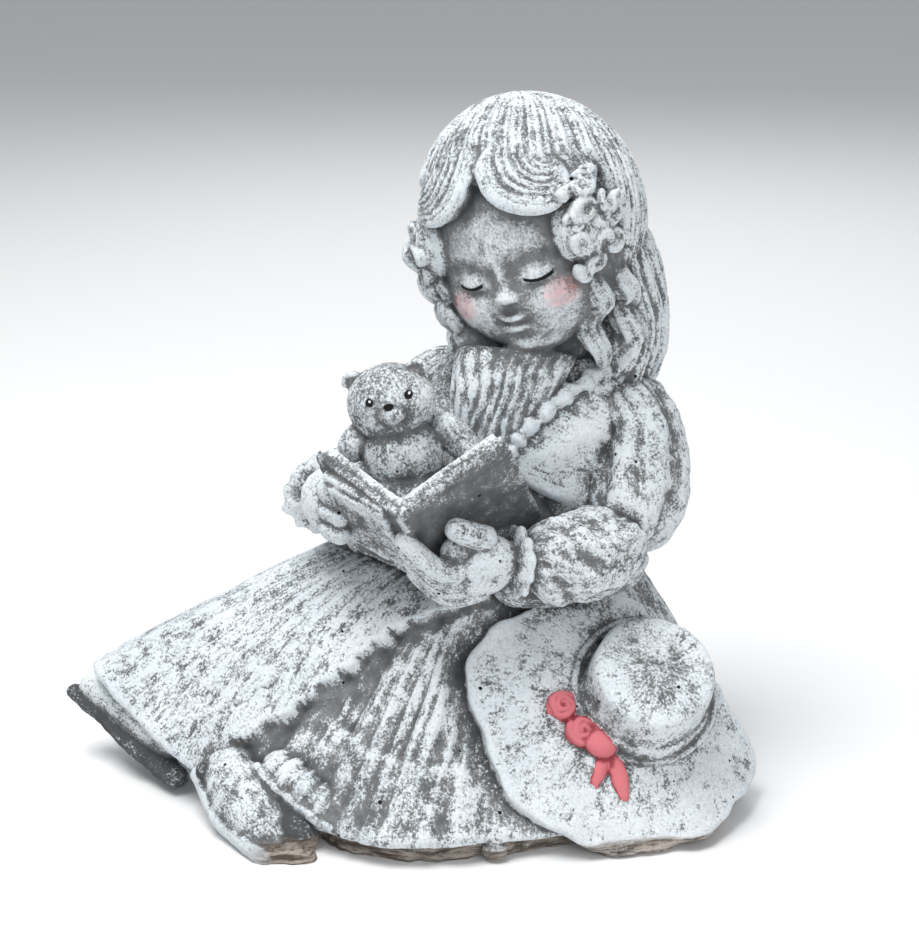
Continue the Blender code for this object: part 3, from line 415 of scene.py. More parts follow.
def brim_shape(across, turn, share):
    """How far the brim's upper side stands over the hat's own XY plane."""
    wave = 1.8 * np.sin(5 * turn + 1) * share**3 + 0.7 * np.sin(13 * turn) * share**4
    droop = BRIM_DROOP * np.maximum(across - 8, 0) ** 2 + 0.0025 * np.maximum(-across - 40, 0) ** 2
    return wave - droop


def give_way_to_hat(points):
    """Presses the cloth in where the hat lies on it."""
    place = np.array(hat_frame())
    own = (points - place[:3, 3]) @ place[:3, :3]
    turn = np.arctan2(own[:, 1], own[:, 0])
    share = np.hypot(own[:, 0], own[:, 1]) / brim_reach((turn / math.tau) % 1)
    seat = brim_shape(own[:, 0], turn, np.minimum(share, 1)) - BRIM_THICKNESS - 1.5
    pressed = np.minimum(own[:, 2], seat)
    own[:, 2] += (pressed - own[:, 2]) * (1 - smooth_step(share, 1.0, 1.22))
    return own @ place[:3, :3].T + place[:3, 3]


def skirt(clay):
    """The spread skirt: lap, fall, folds, pleated flounce and apron, over the rim that it stands on."""
    hem = np.array(HEM, float)
    top_share, edge_share, tucked_share, wall_share = 0.80, 0.83, 0.87, 0.96
    floor = -12
    fine_folds, crease_count = 2.4 * SKIRT_FOLDS, 5.7 * SKIRT_FOLDS
    frills, broad_streaks, fine_streaks = 31, 47, 150

    def apron_share(u, s):
        """Where the apron lies, and how far each place is from its near edge."""
        place = u * len(hem)
        counted = np.where(place < 10, place + len(hem), place)
        scallop = 0.10 * np.abs(np.sin(math.pi * APRON_SCALLOPS * s + 0.9 * np.sin(9 * s)))
        scallop = scallop * smooth_step(s, 0.2, 0.5) + 0.02 * np.sin(61 * s)
        near_edge = len(hem) + np.interp(s, *np.transpose(APRON_TO)) + scallop
        on_apron = smooth_step(counted, APRON_FROM - scallop - 0.06, APRON_FROM - scallop)
        on_apron = on_apron * (1 - smooth_step(counted, near_edge - 0.01, near_edge + 0.03))
        return on_apron, counted - near_edge

    def valley(from_edge):
        """The hollow that the skirt sinks into beside the apron's near edge."""
        return bell(from_edge, 0.2, 0.24)

    def surface(u, v):
        row = spline(hem, u, closed=True)
        out = row[:, :2] - WAIST
        reach = np.linalg.norm(out, axis=1)
        out = out / reach[:, None]
        s = np.clip(v / top_share, 0, 1)
        fall = np.clip((s - row[:, 3]) / (1 - row[:, 3]), 0, 1) ** row[:, 4]
        distance = reach * s
        height = LAP_HEIGHT + (row[:, 2] - LAP_HEIGHT) * fall

        on_apron, from_edge = apron_share(u, s)
        seam = bell(from_edge, -0.62, 0.035) + 0.6 * bell(from_edge, -1.9, 0.03)
        lace = smooth_step(from_edge, -0.16, -0.05) * on_apron
        folds = 1.5 * np.cos(math.tau * SKIRT_FOLDS * u + 1.6 * np.sin(5 * u * math.pi))
        folds = folds + 1.1 * np.cos(math.tau * fine_folds * u + 2.6 * np.sin(7 * u * math.pi))
        creases = 0.35 * np.cos(math.tau * crease_count * u + 3 * np.sin(7 * s))
        pleats = 1.7 * np.abs(np.cos(math.pi * FLOUNCE_PLEATS * u + 1.1 * np.sin(9 * math.pi * u)))
        flounce = smooth_step(s, FLOUNCE_START, FLOUNCE_START + 0.02)
        frill = 1 + 0.6 * np.sin(math.tau * frills * u + 2 * np.sin(40 * u))
        lip = frill * bell(s, 0.99, 0.016)
        cloth = (folds + creases) * smooth_step(s, 0.40, 0.85) * (1 - 0.6 * flounce)
        tops = 0.6 * pleats * bell(s, FLOUNCE_START + 0.025, 0.015)
        cloth = cloth + flounce * (0.9 + pleats * smooth_step(s, FLOUNCE_START, 0.95) + tops) + 1.4 * lip
        streaks = 0.16 * np.cos(math.tau * fine_streaks * u + 2 * np.sin(9 * s))
        streaks = streaks + 0.30 * np.cos(math.tau * broad_streaks * u + 4 * s)
        apron = APRON_LIFT + 0.12 * folds * s + streaks - 0.9 * seam + 0.5 * lace + 0.9 * lip
        lift = (cloth - 1.5 * valley(from_edge)) * (1 - on_apron) + apron * on_apron
        lift *= smooth_step(s, 0.25, 0.45)
        lift *= 1 - 0.8 * smooth_step(v, edge_share - 0.02, tucked_share)
        distance = distance + 0.75 * lift
        height = height + 0.65 * lift * (1 - 0.5 * smooth_step(s, 0.9, 1))

        below = smooth_step(v, top_share, edge_share)
        inside = smooth_step(v, edge_share, tucked_share)
        down = smooth_step(v, tucked_share, wall_share)
        closing = smooth_step(v, wall_share, 1)
        height = height - 3 * below
        distance = distance - row[:, 5] * inside
        height = height + (floor - height) * down
        distance = distance * (1 - closing)
        cloth = np.column_stack([WAIST[0] + out[:, 0] * distance, WAIST[1] + out[:, 1] * distance, height])
        kept = (v > tucked_share)[:, None]
        return np.where(kept, cloth, give_way_to_hat(cloth))

    def wash_and_shade(u, v):
        s = np.clip(v / top_share, 0, 1)
        on_apron, from_edge = apron_share(u, s)
        # Painted shade: the cloth is left greyer in the valley beside the apron's near edge; it is also a
        # little greyer down the flounce.
        shaded = valley(from_edge) * smooth_step(s, 0.3, 0.45)
        low_cloth = smooth_step(s, FLOUNCE_START, 1)
        return CLOTH[0] + 0.30 * on_apron - (0.6 * shaded + 0.2 * low_cloth) * (1 - on_apron)

    clay.skin(surface, *SKIRT_GRID, UPRIGHT, (wash_and_shade, *CLOTH[1:]))
    clay.ball((39, -101, 5), (5.5, 3.5, 4.5), finish=DARK)

    def gathered(turn, v):
        return 0.10 * np.cos(math.tau * 5 * v + turn) + 0.04 * np.cos(math.tau * 13 * v)

    turned_in = [(-72, -64, 31), (-66, -73, 27), (-57, -81, 23), (-46, -89, 18), (-34, -96, 13)]
    clay.tube(turned_in, [2, 2.4, 2.4, 2.4, 2], along=60, folds=gathered)
    behind = [(x + 7, y + 8, z) for x, y, z in turned_in]
    clay.tube(behind, [7, 9, 10, 10, 7], around=40, along=60, folds=gathered)


def shoes(clay):
    """Both feet come out under the apron and lie on their sides, soles to the left."""
    upper = [(-87, -47, 21), (-81, -62, 17), (-71, -79, 11), (-58, -96, 3)]
    clay.tube(upper, [13, 15, 14, 9], around=40, along=40, finish=FOREARM)
    # The undersides beneath the apron carry SHADE, which is painted shade.
    clay.tube([(-66, -52, 13), (-58, -74, 9), (-47, -94, 2)], [14, 14, 9], finish=SHADE)
    clay.ball((-57, -98, 1), (13, 6, 6), finish=SHADE)
    clay.ball((-84, -55, 27), (11, 9, 7))
    clay.ball((-97, -58, 24), (3.2, 4.5, 4.0), finish=SHADE)
    sole = [(-102, -50, 22), (-95, -64, 14), (-86, -79, 8), (-73, -95, 4), (-61, -103, 1)]
    clay.tube(sole, [3, 4, 4.2, 4.2, 3.5], finish=JACKET)
    clay.tube([(-104, -22, 20), (-128, -7, 27), (-148, 5, 34), (-166, 13, 39)], [15, 13, 10, 5])
    ridge = [(-110, -36, 7), (-130, -19, 14), (-151, 0, 24), (-172, 12, 36)]
    clay.tube(ridge, [6, 5.5, 5, 3.5], around=24, along=60, finish=SHADE)
    clay.ball((-106, -42, 3), (7, 6, 4), finish=SHADE)


def trunk(clay):
    """The bodice, from the hips to the neck."""
    spine = [(76, 30, 84), (74, 28, 108), (70, 25, 134), (65, 23, 160), (61, 21, 182), (58, 19, 198)]
    spine.append((57, 16, 218))
    clay.tube(
        spine,
        [44, 44, 37, 39, 42, 30, 18],
        flat=0.84,
        side=(math.sin(TRUNK_TURN), -math.cos(TRUNK_TURN), 0),
        around=60,
        along=60,
        finish=JACKET,
    )


def sash(clay):
    """The waistband and the tied ends of its sash, at her back."""
    ring = np.linspace(0, math.tau, 25)
    waist = [(72 + 39 * math.cos(a), 27 + 34 * math.sin(a), 118 + 2 * math.sin(a)) for a in ring]
    clay.tube(waist, [6] * len(waist), around=16, along=90)
    for hand in (-1, 1):
        loop = [(86, 60, 118), (86 + 14 * hand, 66, 126), (86 + 22 * hand, 64, 118), (86, 60, 117)]
        clay.tube(loop, [5, 7, 6, 4])
        clay.tube([(86, 60, 117), (86 + 8 * hand, 68, 98), (86 + 14 * hand, 80, 74)], [6, 7, 6], flat=0.6)
    clay.ball((86, 62, 118), (6, 5, 6))


def panel(clay, top, low, facing, swell, grid, finish):
    """A cushion of cloth between two lines across the chest. swell(share, v) is how far it stands out."""
    backing = -9.0

    def surface(u, v):
        front = u < 0.5
        share = np.where(front, 2 * u, 2 - 2 * u)
        start, end = spline(top, share), spline(low, share)
        taper = rounded_ends(v, 9) * np.clip(np.sin(math.pi * share) * 6, 0, 1)
        out = np.where(front, swell(share, v), backing) * taper
        return start + (end - start) * v[:, None] + out[:, None] * facing

    clay.skin(surface, *grid, UPRIGHT, finish)


def pleats_and_collar(clay):
    """The pleated blouse front under the chin, and the jacket's front beside it with its ruffled edge."""
    neck = [(21, 4, 212), (28, -11, 218), (41, -18, 219), (53, -19, 219), (65, -16, 217), (78, -9, 212)]
    foot = [(19, -8, 184), (24, -18, 174), (32, -23, 167), (42, -25, 167), (51, -23, 175), (64, -18, 188)]
    pleats, ruffles, fine_ruffles = 10, 9, 17

    def pleated(share, v):
        wander = 0.8 * np.sin(4 * v + 9 * share) + 0.5 * np.sin(11 * v)
        pleat = np.abs(np.sin(math.pi * pleats * share + wander)) ** 0.8
        return 2.0 + 3.2 * np.sin(math.pi * v) + pleat * (1.2 + 2.0 * v)

    # Painted shade under the chin: the top of the pleated front is left greyer.
    def shaded(_, v):
        return SMOOTH[0] - 0.9 * (1 - smooth_step(v, 0.0, 0.3))

    panel(clay, neck, foot, np.array((-0.35, -0.92, 0.18)), pleated, BLOUSE_GRID, (shaded, *SMOOTH[1:]))
    clay.ball((49, 2, 192), (27, 17, 23), around=28, along=18)

    lapel = [(100, 8, 206), (84, -6, 201), (68, -16, 192), (55, -22, 182), (46, -25, 170), (47, -25, 157)]
    armhole = [(110, 4, 200), (106, -4, 188), (101, -10, 176), (95, -13, 164), (86, -16, 152)]
    armhole.append((74, -20, 142))

    def rumpled(share, v):
        return 2.5 + 3.0 * np.sin(math.pi * v) + 1.2 * np.sin(9 * share + 5 * v) * np.sin(math.pi * v)

    def ruffled(turn, v):
        sway = 1.2 * np.cos(turn) + np.sin(9 * v)
        fine = np.cos(math.tau * fine_ruffles * v - 2 * sway)
        return 0.20 * np.cos(math.tau * ruffles * v + sway) + 0.10 * fine

    panel(clay, lapel, armhole, np.array((-0.20, -0.97, 0.12)), rumpled, JACKET_GRID, JACKET)
    clay.ball((80, 3, 180), (22, 16, 30), around=28, along=18, finish=JACKET)
    clay.ball((66, -1, 166), (20, 14, 25), around=28, along=18, finish=JACKET)
    clay.ball((70, -6, 150), (24, 15, 26), around=32, along=20, finish=JACKET)
    edge = [(x - 0.5, y - 3.5, z + 0.5) for x, y, z in lapel]
    clay.tube(edge, [3.4, 4.0, 3.8, 3.8, 3.4, 2.6], around=24, along=110, finish=JACKET, folds=ruffled)
    # A roll along the blouse's far side, left grey as painted shade.
    clay.tube([(34, 38, 203), (20, 24, 198), (15, 8, 188), (19, -8, 176)], [6, 6.5, 6, 5], finish=DARK)


def sleeve(clay, points, radii, start, finish=SLEEVE):
    """A full sleeve, gathered in folds that run round it."""

    def folds(turn, v):
        ridge = 0.040 * np.cos(7 * turn + 2 * v + start) + 0.040 * np.sin(3 * turn - 7 * v + start)
        gathers = 0.045 * np.cos(16 * turn + 2.5 * np.sin(5 * v + start))
        ridge = ridge + gathers * (1 - smooth_step(np.minimum(v, 1 - v), 0.08, 0.35))
        return ridge - 0.09 * np.abs(np.sin(2 * turn + 6 * v + 1.3 * np.sin(5 * v + start))) ** 6 + 0.02

    clay.tube(points, radii, side=(0, 1, 0), around=110, along=70, finish=finish, folds=folds)


def cuff(clay, middle, faces, radius):
    """A frilled cuff: a short fluted ring across the wrist."""
    middle = Vector(middle)
    half = Vector(faces).normalized() * CUFF_BREADTH / 2
    ends = [middle - half, middle, middle + half]
    frill = {"flutes": CUFF_FRILLS, "depth": 0.06}
    clay.tube(ends, [radius] * 3, side=(0, 1, 0.3), around=110, along=20, finish=SLEEVE, **frill)


def near_arm(clay):
    """Her left arm: puffed sleeve, frilled cuff, and the hand that holds the book from outside."""
    shoulder = [(97, 4, 197), (105, -1, 183), (107, -4, 166), (106, -8, 149), (103, -14, 133)]
    shoulder.append((98, -20, 122))
    sleeve(clay, shoulder, [15, 19, 23, 24, 21, 15], 0.6)
    forearm = [(103, -26, 128), (93, -36, 127), (79, -46, 127), (64, -53, 128), (51, -57, 129)]
    sleeve(clay, forearm, [17, 20.5, 20.5, 19, 17], 2.1, FOREARM)
    cuff(clay, (49, -58, 129), (-0.85, -0.4, 0.1), 16.5)
    back = [(50, -57, 129), (38, -60, 129), (27, -63, 128), (16, -66, 129)]
    palm = (0.4, -0.83, -0.39)
    clay.tube(back, [12, 15, 15, 10], flat=0.8, side=palm, around=24, along=30, finish=SMOOTH)
    clay.ball((27, -66, 137), (13, 7, 9), finish=SMOOTH)
    fingers = 4
    for k in range(fingers):
        low = k / (fingers - 1)
        start = (34 + 2 * low, -66 + 5 * low, 135 - 17 * low)
        bend = (16 + 2 * low, -72 + 8 * low, 129 - 14 * low)
        tip = (-5 + 5 * low, -76 + 9 * low, 149 - 19 * low)
        clay.tube([start, bend, tip], [5.6, 5.4, 4.4], finish=SMOOTH)
    clay.tube([(39, -63, 141), (28, -70, 146), (17, -73, 152)], [6.5, 6.2, 4.8], finish=SMOOTH)


def far_arm(clay):
    """Her right arm, which comes round behind the bear to the other cover."""
    shoulder = [(26, 40, 198), (14, 49, 182), (4, 54, 164), (-4, 54, 147), (-12, 48, 132)]
    # The upper sleeve behind the bear is left grey as painted shade.
    sleeve(clay, shoulder, [13, 19, 22, 21, 14], 3.0, DARK)
    forearm = [(-4, 57, 137), (-20, 42, 137), (-34, 20, 139), (-42, 0, 143), (-45, -12, 145)]
    sleeve(clay, forearm, [14, 19, 19, 17, 14], 4.4)
    cuff(clay, (-43, -17, 146), (0.1, -1, 0.1), 17)
    back = [(-42, -16, 147), (-38, -32, 149), (-34, -44, 150)]
    clay.tube(back, [12, 12, 8], flat=1.2, finish=SMOOTH)
    for k in range(3):
        route = [(-38, -34, 158 - 9 * k), (-36, -44, 157 - 9 * k), (-28, -51, 155 - 9 * k)]
        clay.tube(route, [5, 5, 4], finish=SMOOTH)


def lap_core(clay):
    """The stone that fills the space between her arms, her lap and the book, mostly left grey as painted
    shade in that recess.
    """
    clay.ball((24, 4, 132), (56, 38, 31), around=40, along=24, finish=DARK)
    clay.ball((20, -20, 130), (36, 28, 24), around=32, along=20, finish=DARK)
    clay.tube([(84, -8, 110), (66, -32, 112), (38, -46, 116)], [17, 15, 13], finish=DARK)
    clay.tube([(62, 24, 112), (30, 28, 114), (-6, 22, 118), (-26, -6, 124)], [30, 26, 20, 14])


def book(clay):
    """Two covers, each with its block of pages, and two loose leaves dropped from the far side."""
    length, width, cover, pages = 72, 57, 3.5, 5
    spine_top = Vector((-4, -85, 162))
    foot = spine_top + Vector((0.264, 0.639, -0.722)) * length
    near = Vector((0.807, 0.264, 0.528)) * width
    far = Vector((-0.66, 0.70, 0.27)) * width
    far_top = spine_top + far
    far_foot = far_top + Vector((0.30, 0.20, -0.93)) * length * 0.75
    for top, low, inward in ((spine_top + near, foot + near, 1), (far_top, far_foot, -1)):
        corners = (spine_top, top, low, foot)
        clay.leaf(corners, cover, finish=BOOK)
        face = (top - spine_top).cross(foot - spine_top).normalized() * inward
        middle = sum(corners, Vector()) / 4
        inset = [c.lerp(middle, 0.07) + face * (cover + pages) / 2 for c in corners]
        clay.leaf(inset, pages, finish=SMOOTH)
    for drop in (5, 10):
        low = Vector((-5, 2, -drop))
        start, end = spine_top.lerp(far_top, 0.12), spine_top.lerp(far_top, 0.78)
        corners = (start + low * 0.5, end + low, end.lerp(far_foot, 0.55) + low, foot.lerp(far_foot, 0.3))
        clay.leaf(corners, 2.2)
    clay.tube([spine_top, spine_top.lerp(foot, 0.5), foot], [2.6, 2.6, 2.6], side=(1, 0, 0))


def bear(clay):
    """The toy bear that sits in the book and looks out over it."""
    clay.ball((0, 0, 0), (20.5, 18, 18), BEAR_HEAD, 40, 24, FUR)
    clay.ball((2.0, -12, -1.0), (8.2, 8.4, 6.2), BEAR_HEAD, 28, 16, FUR)
    for x, z in ((-15.5, 12.0), (15.0, 13.0)):
        clay.ball((x, 2, z), (5.0, 3.2, 5.0), BEAR_HEAD, finish=FUR)
        rim = [(x + 3.9 * math.cos(a), -0.2, z + 3.9 * math.sin(a)) for a in np.linspace(-0.6, 3.7, 9)]
        clay.tube(rim, [1.3] * len(rim), side=(0, 1, 0), place=BEAR_HEAD, finish=FUR)
    clay.ball((-3, -37, 172), (18.5, 16, 20), around=32, along=20, finish=FUR)
    clay.ball((-1, -36, 154), (22, 20, 20), around=32, along=20, finish=FUR)
    near_arm_line = [(10, -30, 187), (20, -33, 182), (28, -39, 173), (26, -46, 168)]
    clay.tube(near_arm_line, [7, 7.5, 6.5, 5.5], finish=FUR)
    clay.tube([(-16, -31, 185), (-24, -33, 178), (-29, -38, 171)], [7.5, 7.5, 6], finish=FUR)


def dome(lon, lat, lift):
    """Places over the hair in the head's own frame, in degrees. lon is 0 at the face, more to her left."""
    lon, lat = np.radians(lon), np.radians(lat)
    wide, deep, high = (radius + lift for radius in HAIR_RADII)
    level = np.cos(lat)
    x, y = wide * level * np.sin(lon), -deep * level * np.cos(lon)
    return np.column_stack([x, y, high * np.sin(lat) + HAIR_LIFT])


def on_head(lon, lat, lift=0.0):
    return Vector(dome(np.array([lon]), np.array([lat]), lift)[0])


def face(clay):
    """A calm child's face of plain proportions with lowered lids, modelled as swells on an egg."""
    egg = np.array(  # height, half-width, how far the front stands out, how far the back does
        [
            (54, 0, 0, 0), (50, 20, 18, 20), (40, 33, 31, 33), (26, 42, 40, 42), (10, 45.5, 44, 46),
            (-6, 46.5, 44.5, 46), (-18, 46, 44.5, 44), (-28, 42.5, 44, 40), (-36, 35, 42, 34),
            (-42, 25.5, 38, 28), (-46, 14.5, 31, 20), (-48, 0, 0, 0),
        ],
        float,
    )
    swells = (  # across, up, half-width, half-height, how far it stands out
        (16.5, -1.5, 11, 7.5, -4.2),
        (16.5, -3.0, 7.6, 4.6, 5.4),
        (16.5, -8.3, 7.0, 1.4, -0.8),
        (23, -18, 13, 10, 4.0),
        (0, -2, 3.4, 7, 1.4),
        (0, -11.2, 3.7, 3.4, 4.6),
        (3.6, -12.3, 2.3, 1.9, 1.6),
        (2.4, -14.8, 1.5, 1.1, -0.9),
        (0, -17.8, 1.8, 2.4, -0.4),
        (2.8, -21.6, 3.6, 1.9, 2.2),
        (0, -21.9, 3.0, 1.4, 1.0),
        (0, -24.5, 2.8, 0.9, -1.4),
        (3.2, -24.2, 2.0, 0.9, -1.5),
        (5.8, -23.3, 1.5, 1.0, -1.4),
        (7.4, -22.6, 1.4, 1.5, -0.6),
        (0, -26.9, 4.8, 2.1, 2.8),
        (0, -31.0, 6.5, 2.0, -1.2),
        (0, -37.5, 9.0, 5.0, 2.6),
    )

    def head(u, v):
        turn = math.tau * u + math.pi
        row = spline(egg, v)
        z, wide = row[:, 0], np.maximum(row[:, 1], 0)
        x = wide * np.sin(turn)
        y = -np.where(np.cos(turn) > 0, row[:, 2], row[:, 3]) * np.cos(turn)
        front = smooth_step(-y, 10, 28)
        for across, up, half_width, half_height, out in swells:
            for hand in (-1, 1) if across else (0,):
                near = bell(x, across * hand, half_width) * bell(z, up, half_height)
                y = y - out * near * front
        return np.column_stack([x, y, z])

    clay.skin(head, *FACE_GRID, HEAD, SKIN)


def swept_lock(clay, outer, inner, grooves, lift):
    """A broad lock swept over the head, with a rolled outer edge and grooves that follow it."""
    outer, inner = np.array(outer, float), np.array(inner, float)
    roll_share = 0.16

    def surface(u, v):
        share = np.where(u < 0.5, 2 * u, 2 - 2 * u)
        taper = rounded_ends(v, 7)
        line = spline(outer, v)
        line = line + (spline(inner, v) - line) * (0.5 + (share - 0.5) * taper)[:, None]
        roll = quarter_round(share / roll_share)
        groove = np.abs(np.sin(math.pi * grooves * (share - roll_share) + 0.5 * np.sin(7 * v))) ** 0.7
        past_roll = smooth_step(share, 0.12, 0.24)
        groove = groove * past_roll + 1 - past_roll
        height = lift - 3.5 + 3.5 * roll - 1.9 * (1 - groove) - 1.6 * share
        backing = 12 * smooth_step(share, 0, 0.10) * smooth_step(1 - share, 0, 0.10)
        height = height - backing * (u > 0.5)
        height = height * taper - 11 * (1 - taper)
        return dome(line[:, 0], line[:, 1], height)

    clay.skin(surface, *LOCK_GRID, HEAD, HAIR)


def ringlet(clay, points, radius, turns):
    """A corkscrew curl that winds as it hangs along points."""
    steps = round(8 * turns) + 1
    wound = spline(points, np.linspace(0, 1, steps))
    phase = np.linspace(0, math.tau * turns, steps)
    wound[:, 0] += RINGLET_SWAY * radius * np.cos(phase)
    wound[:, 1] += RINGLET_SWAY * radius * np.sin(phase)
    radii = radius * np.interp(np.linspace(0, 1, 9), (0, 0.2, 0.8, 1), (0.6, 0.78, 0.72, 0.4))
    strands = {"flutes": 6, "depth": 0.11, "twist": 9}
    clay.tube(wound, radii, side=(0, 1, 0), around=50, along=220, finish=RINGLET, **strands)


def curl(clay, lon, lat, size, aspect, start):
    """A small tuft of a curl that bends round on the hair."""
    middle = on_head(lon, lat, -2.0)
    out = (middle - Vector((0, 0, HAIR_LIFT))).normalized()
    side = out.cross(Vector((0, 0, 1))).normalized()
    up = side.cross(out)
    points = []
    for t in np.linspace(0, 1, 11):
        angle = start + math.tau * 0.85 * aspect * t
        reach = size * (0.95 - 0.5 * t)
        wide, high = reach * aspect * math.cos(angle), reach / aspect * math.sin(angle)
        points.append(middle + side * wide + up * high + out * (1.1 * t))
    thick = [0.34 * size, 0.64 * size, 0.70 * size, 0.40 * size]
    strands = {"flutes": 3, "depth": 0.12}
    clay.tube(points, thick, side=out, place=HEAD, around=24, along=70, finish=HAIR, **strands)


def hair(clay):
    """Parted fringe, curls beside the face, and long wavy hair that hangs behind to the shoulders."""
    strands = 27
    tilt = np.array(Matrix.Rotation(PARTING_LEAN, 3, "X"))

    def cap(u, v):
        turn, rise = math.tau * u, math.pi * v
        level = sphere(turn, rise)
        wander = 0.9 * np.sin(5 * v + 2 * turn) + 0.5 * np.sin(13 * v + 5 * turn)
        swell = 0.010 * np.cos(strands * turn + wander) + 0.010 * np.cos(3 * strands * turn + 2.5 * wander)
        swell = 1 + swell * np.sin(rise)
        points = level @ tilt.T * CAP_RADII * swell[:, None]
        behind_face = smooth_step(-points[:, 1], 10, 30) * (1 - smooth_step(points[:, 2], 22, 40))
        points[:, 1] += 12 * behind_face
        points[:, 1] -= 9 * smooth_step(-points[:, 1], 0, 25) * smooth_step(points[:, 2], 18, 34)
        return points + (0, 8, HAIR_LIFT)

    clay.skin(cap, *HAIR_GRID, HEAD, HAIR)
    clay.ball(on_head(40, 48, -20), (16, 16, 16), HEAD, finish=HAIR)
    # The neck under the chin, left grey as painted shade.
    clay.ball((53, 8, 216), (34, 17, 22), around=32, along=20, finish=DARK)

    for outer, inner, grooves, lift in (
        (
            ((34, 84), (17, 66), (0, 49), (2, 38), (10, 27), (26, 18), (44, 16), (57, 26), (60, 37)),
            ((150, 84), (88, 75), (68, 64), (56, 54), (51, 48), (50, 44), (53, 42), (56, 43), (58, 44)),
            9,
            -0.5,
        ),
        (
            ((20, 84), (6, 66), (0, 50), (-3, 41), (-9, 31), (-21, 22), (-37, 18), (-52, 20), (-62, 26)),
            ((-120, 84), (-74, 75), (-60, 61), (-57, 48), (-56, 41), (-58, 37), (-60, 35), (-63, 33)),
            8,
            -0.5,
        ),
        (
            ((60, 84), (57, 73), (53, 62), (51, 53), (54, 46), (58, 40), (60, 30), (58, 20)),
            ((170, 84), (118, 72), (100, 60), (92, 50), (88, 42), (86, 34), (84, 26), (82, 18)),
            6,
            -1.8,
        ),
    ):
        swept_lock(clay, outer, inner, grooves, lift)

    outline = [(0, 270), (38, 268), (46, 256), (50, 238), (52, 220), (50, 204), (40, 190), (0, 186)]
    widest = max(across for across, _ in outline)
    locks, fine_locks = 34, 91

    def mantle(u, v):
        turn = math.tau * u
        lon = np.degrees(np.where(turn > math.pi, turn - math.tau, turn))
        far = smooth_step(np.abs(lon), 105, 175)
        reach = np.where(lon > 0, 57 - 9 * far, 47 + far)
        reach = reach - (reach - 26) * (1 - smooth_step(np.abs(lon), 48, 70))
        profile = spline(outline, v)
        waves = 2.2 * np.sin(math.tau * 2.3 * v + 2.5 * turn)
        strand = 1.6 * np.cos(locks * turn + waves) + np.cos(fine_locks * turn + 2.3 * waves)
        r = profile[:, 0] / widest * (reach + strand * smooth_step(v, 0.15, 0.3))
        droop = 5 * np.cos(8 * turn) * smooth_step(v, 0.6, 0.9)
        angle = turn + math.radians(HEAD_TURN)
        x, y = MANTLE_MIDDLE[0] + r * np.sin(angle), MANTLE_MIDDLE[1] - r * np.cos(angle)
        return np.column_stack([x, y, profile[:, 1] + droop])

    clay.skin(mantle, *HAIR_GRID, UPRIGHT, HAIR)
    for lon, lat in ((56, 0), (-58, 4)):
        clay.ball(on_head(lon, lat, -13), (15, 15, 17), HEAD, finish=HAIR)
    pinned = [on_head(44, 20, 0.5), on_head(53, 22, -1.5), on_head(62, 22, -1.5), on_head(72, 26, 0.5)]
    clay.tube(pinned, [3.8, 2.6, 2.6, 3.8], place=HEAD, around=24, along=40, finish=HAIR)
    chance = np.random.default_rng(5)
    near_spots = [(57, 13), (49, 5), (60, 4), (69, 12), (50, -4), (59, -6), (46, -13), (55, -16), (70, 1)]
    near_spots += [(66, 22), (76, 8), (58, 21), (66, -8), (52, 12)]
    far_spots = [(-60, 13), (-54, 4), (-64, 3), (-56, -6), (-66, -7), (-52, 12), (-62, -15)]
    for lon, lat in near_spots + far_spots:
        size, aspect, start = chance.uniform(3.2, 5.8), chance.uniform(0.7, 1.4), chance.uniform(0, 6)
        curl(clay, lon + chance.uniform(-2, 2), lat + chance.uniform(-2, 2), size, aspect, start)
    for route, radius, turns in (
        ([(82, -20, 262), (86, -20, 246), (84, -17, 230), (88, -12, 208)], 7.6, 2.2),
        ([(95, -10, 264), (97, -8, 246), (101, -5, 228), (100, -4, 204)], 8.6, 2.6),
        ([(9, 4, 262), (13, 4, 253), (17, 4, 243), (18, 4, 232), (23, 3, 221), (30, 2, 211)], 5.0, 4.0),
        ([(0, 12, 262), (8, 12, 246), (17, 12, 230), (30, 12, 210)], 6.5, 3.5),
    ):
        ringlet(clay, route, radius, turns)


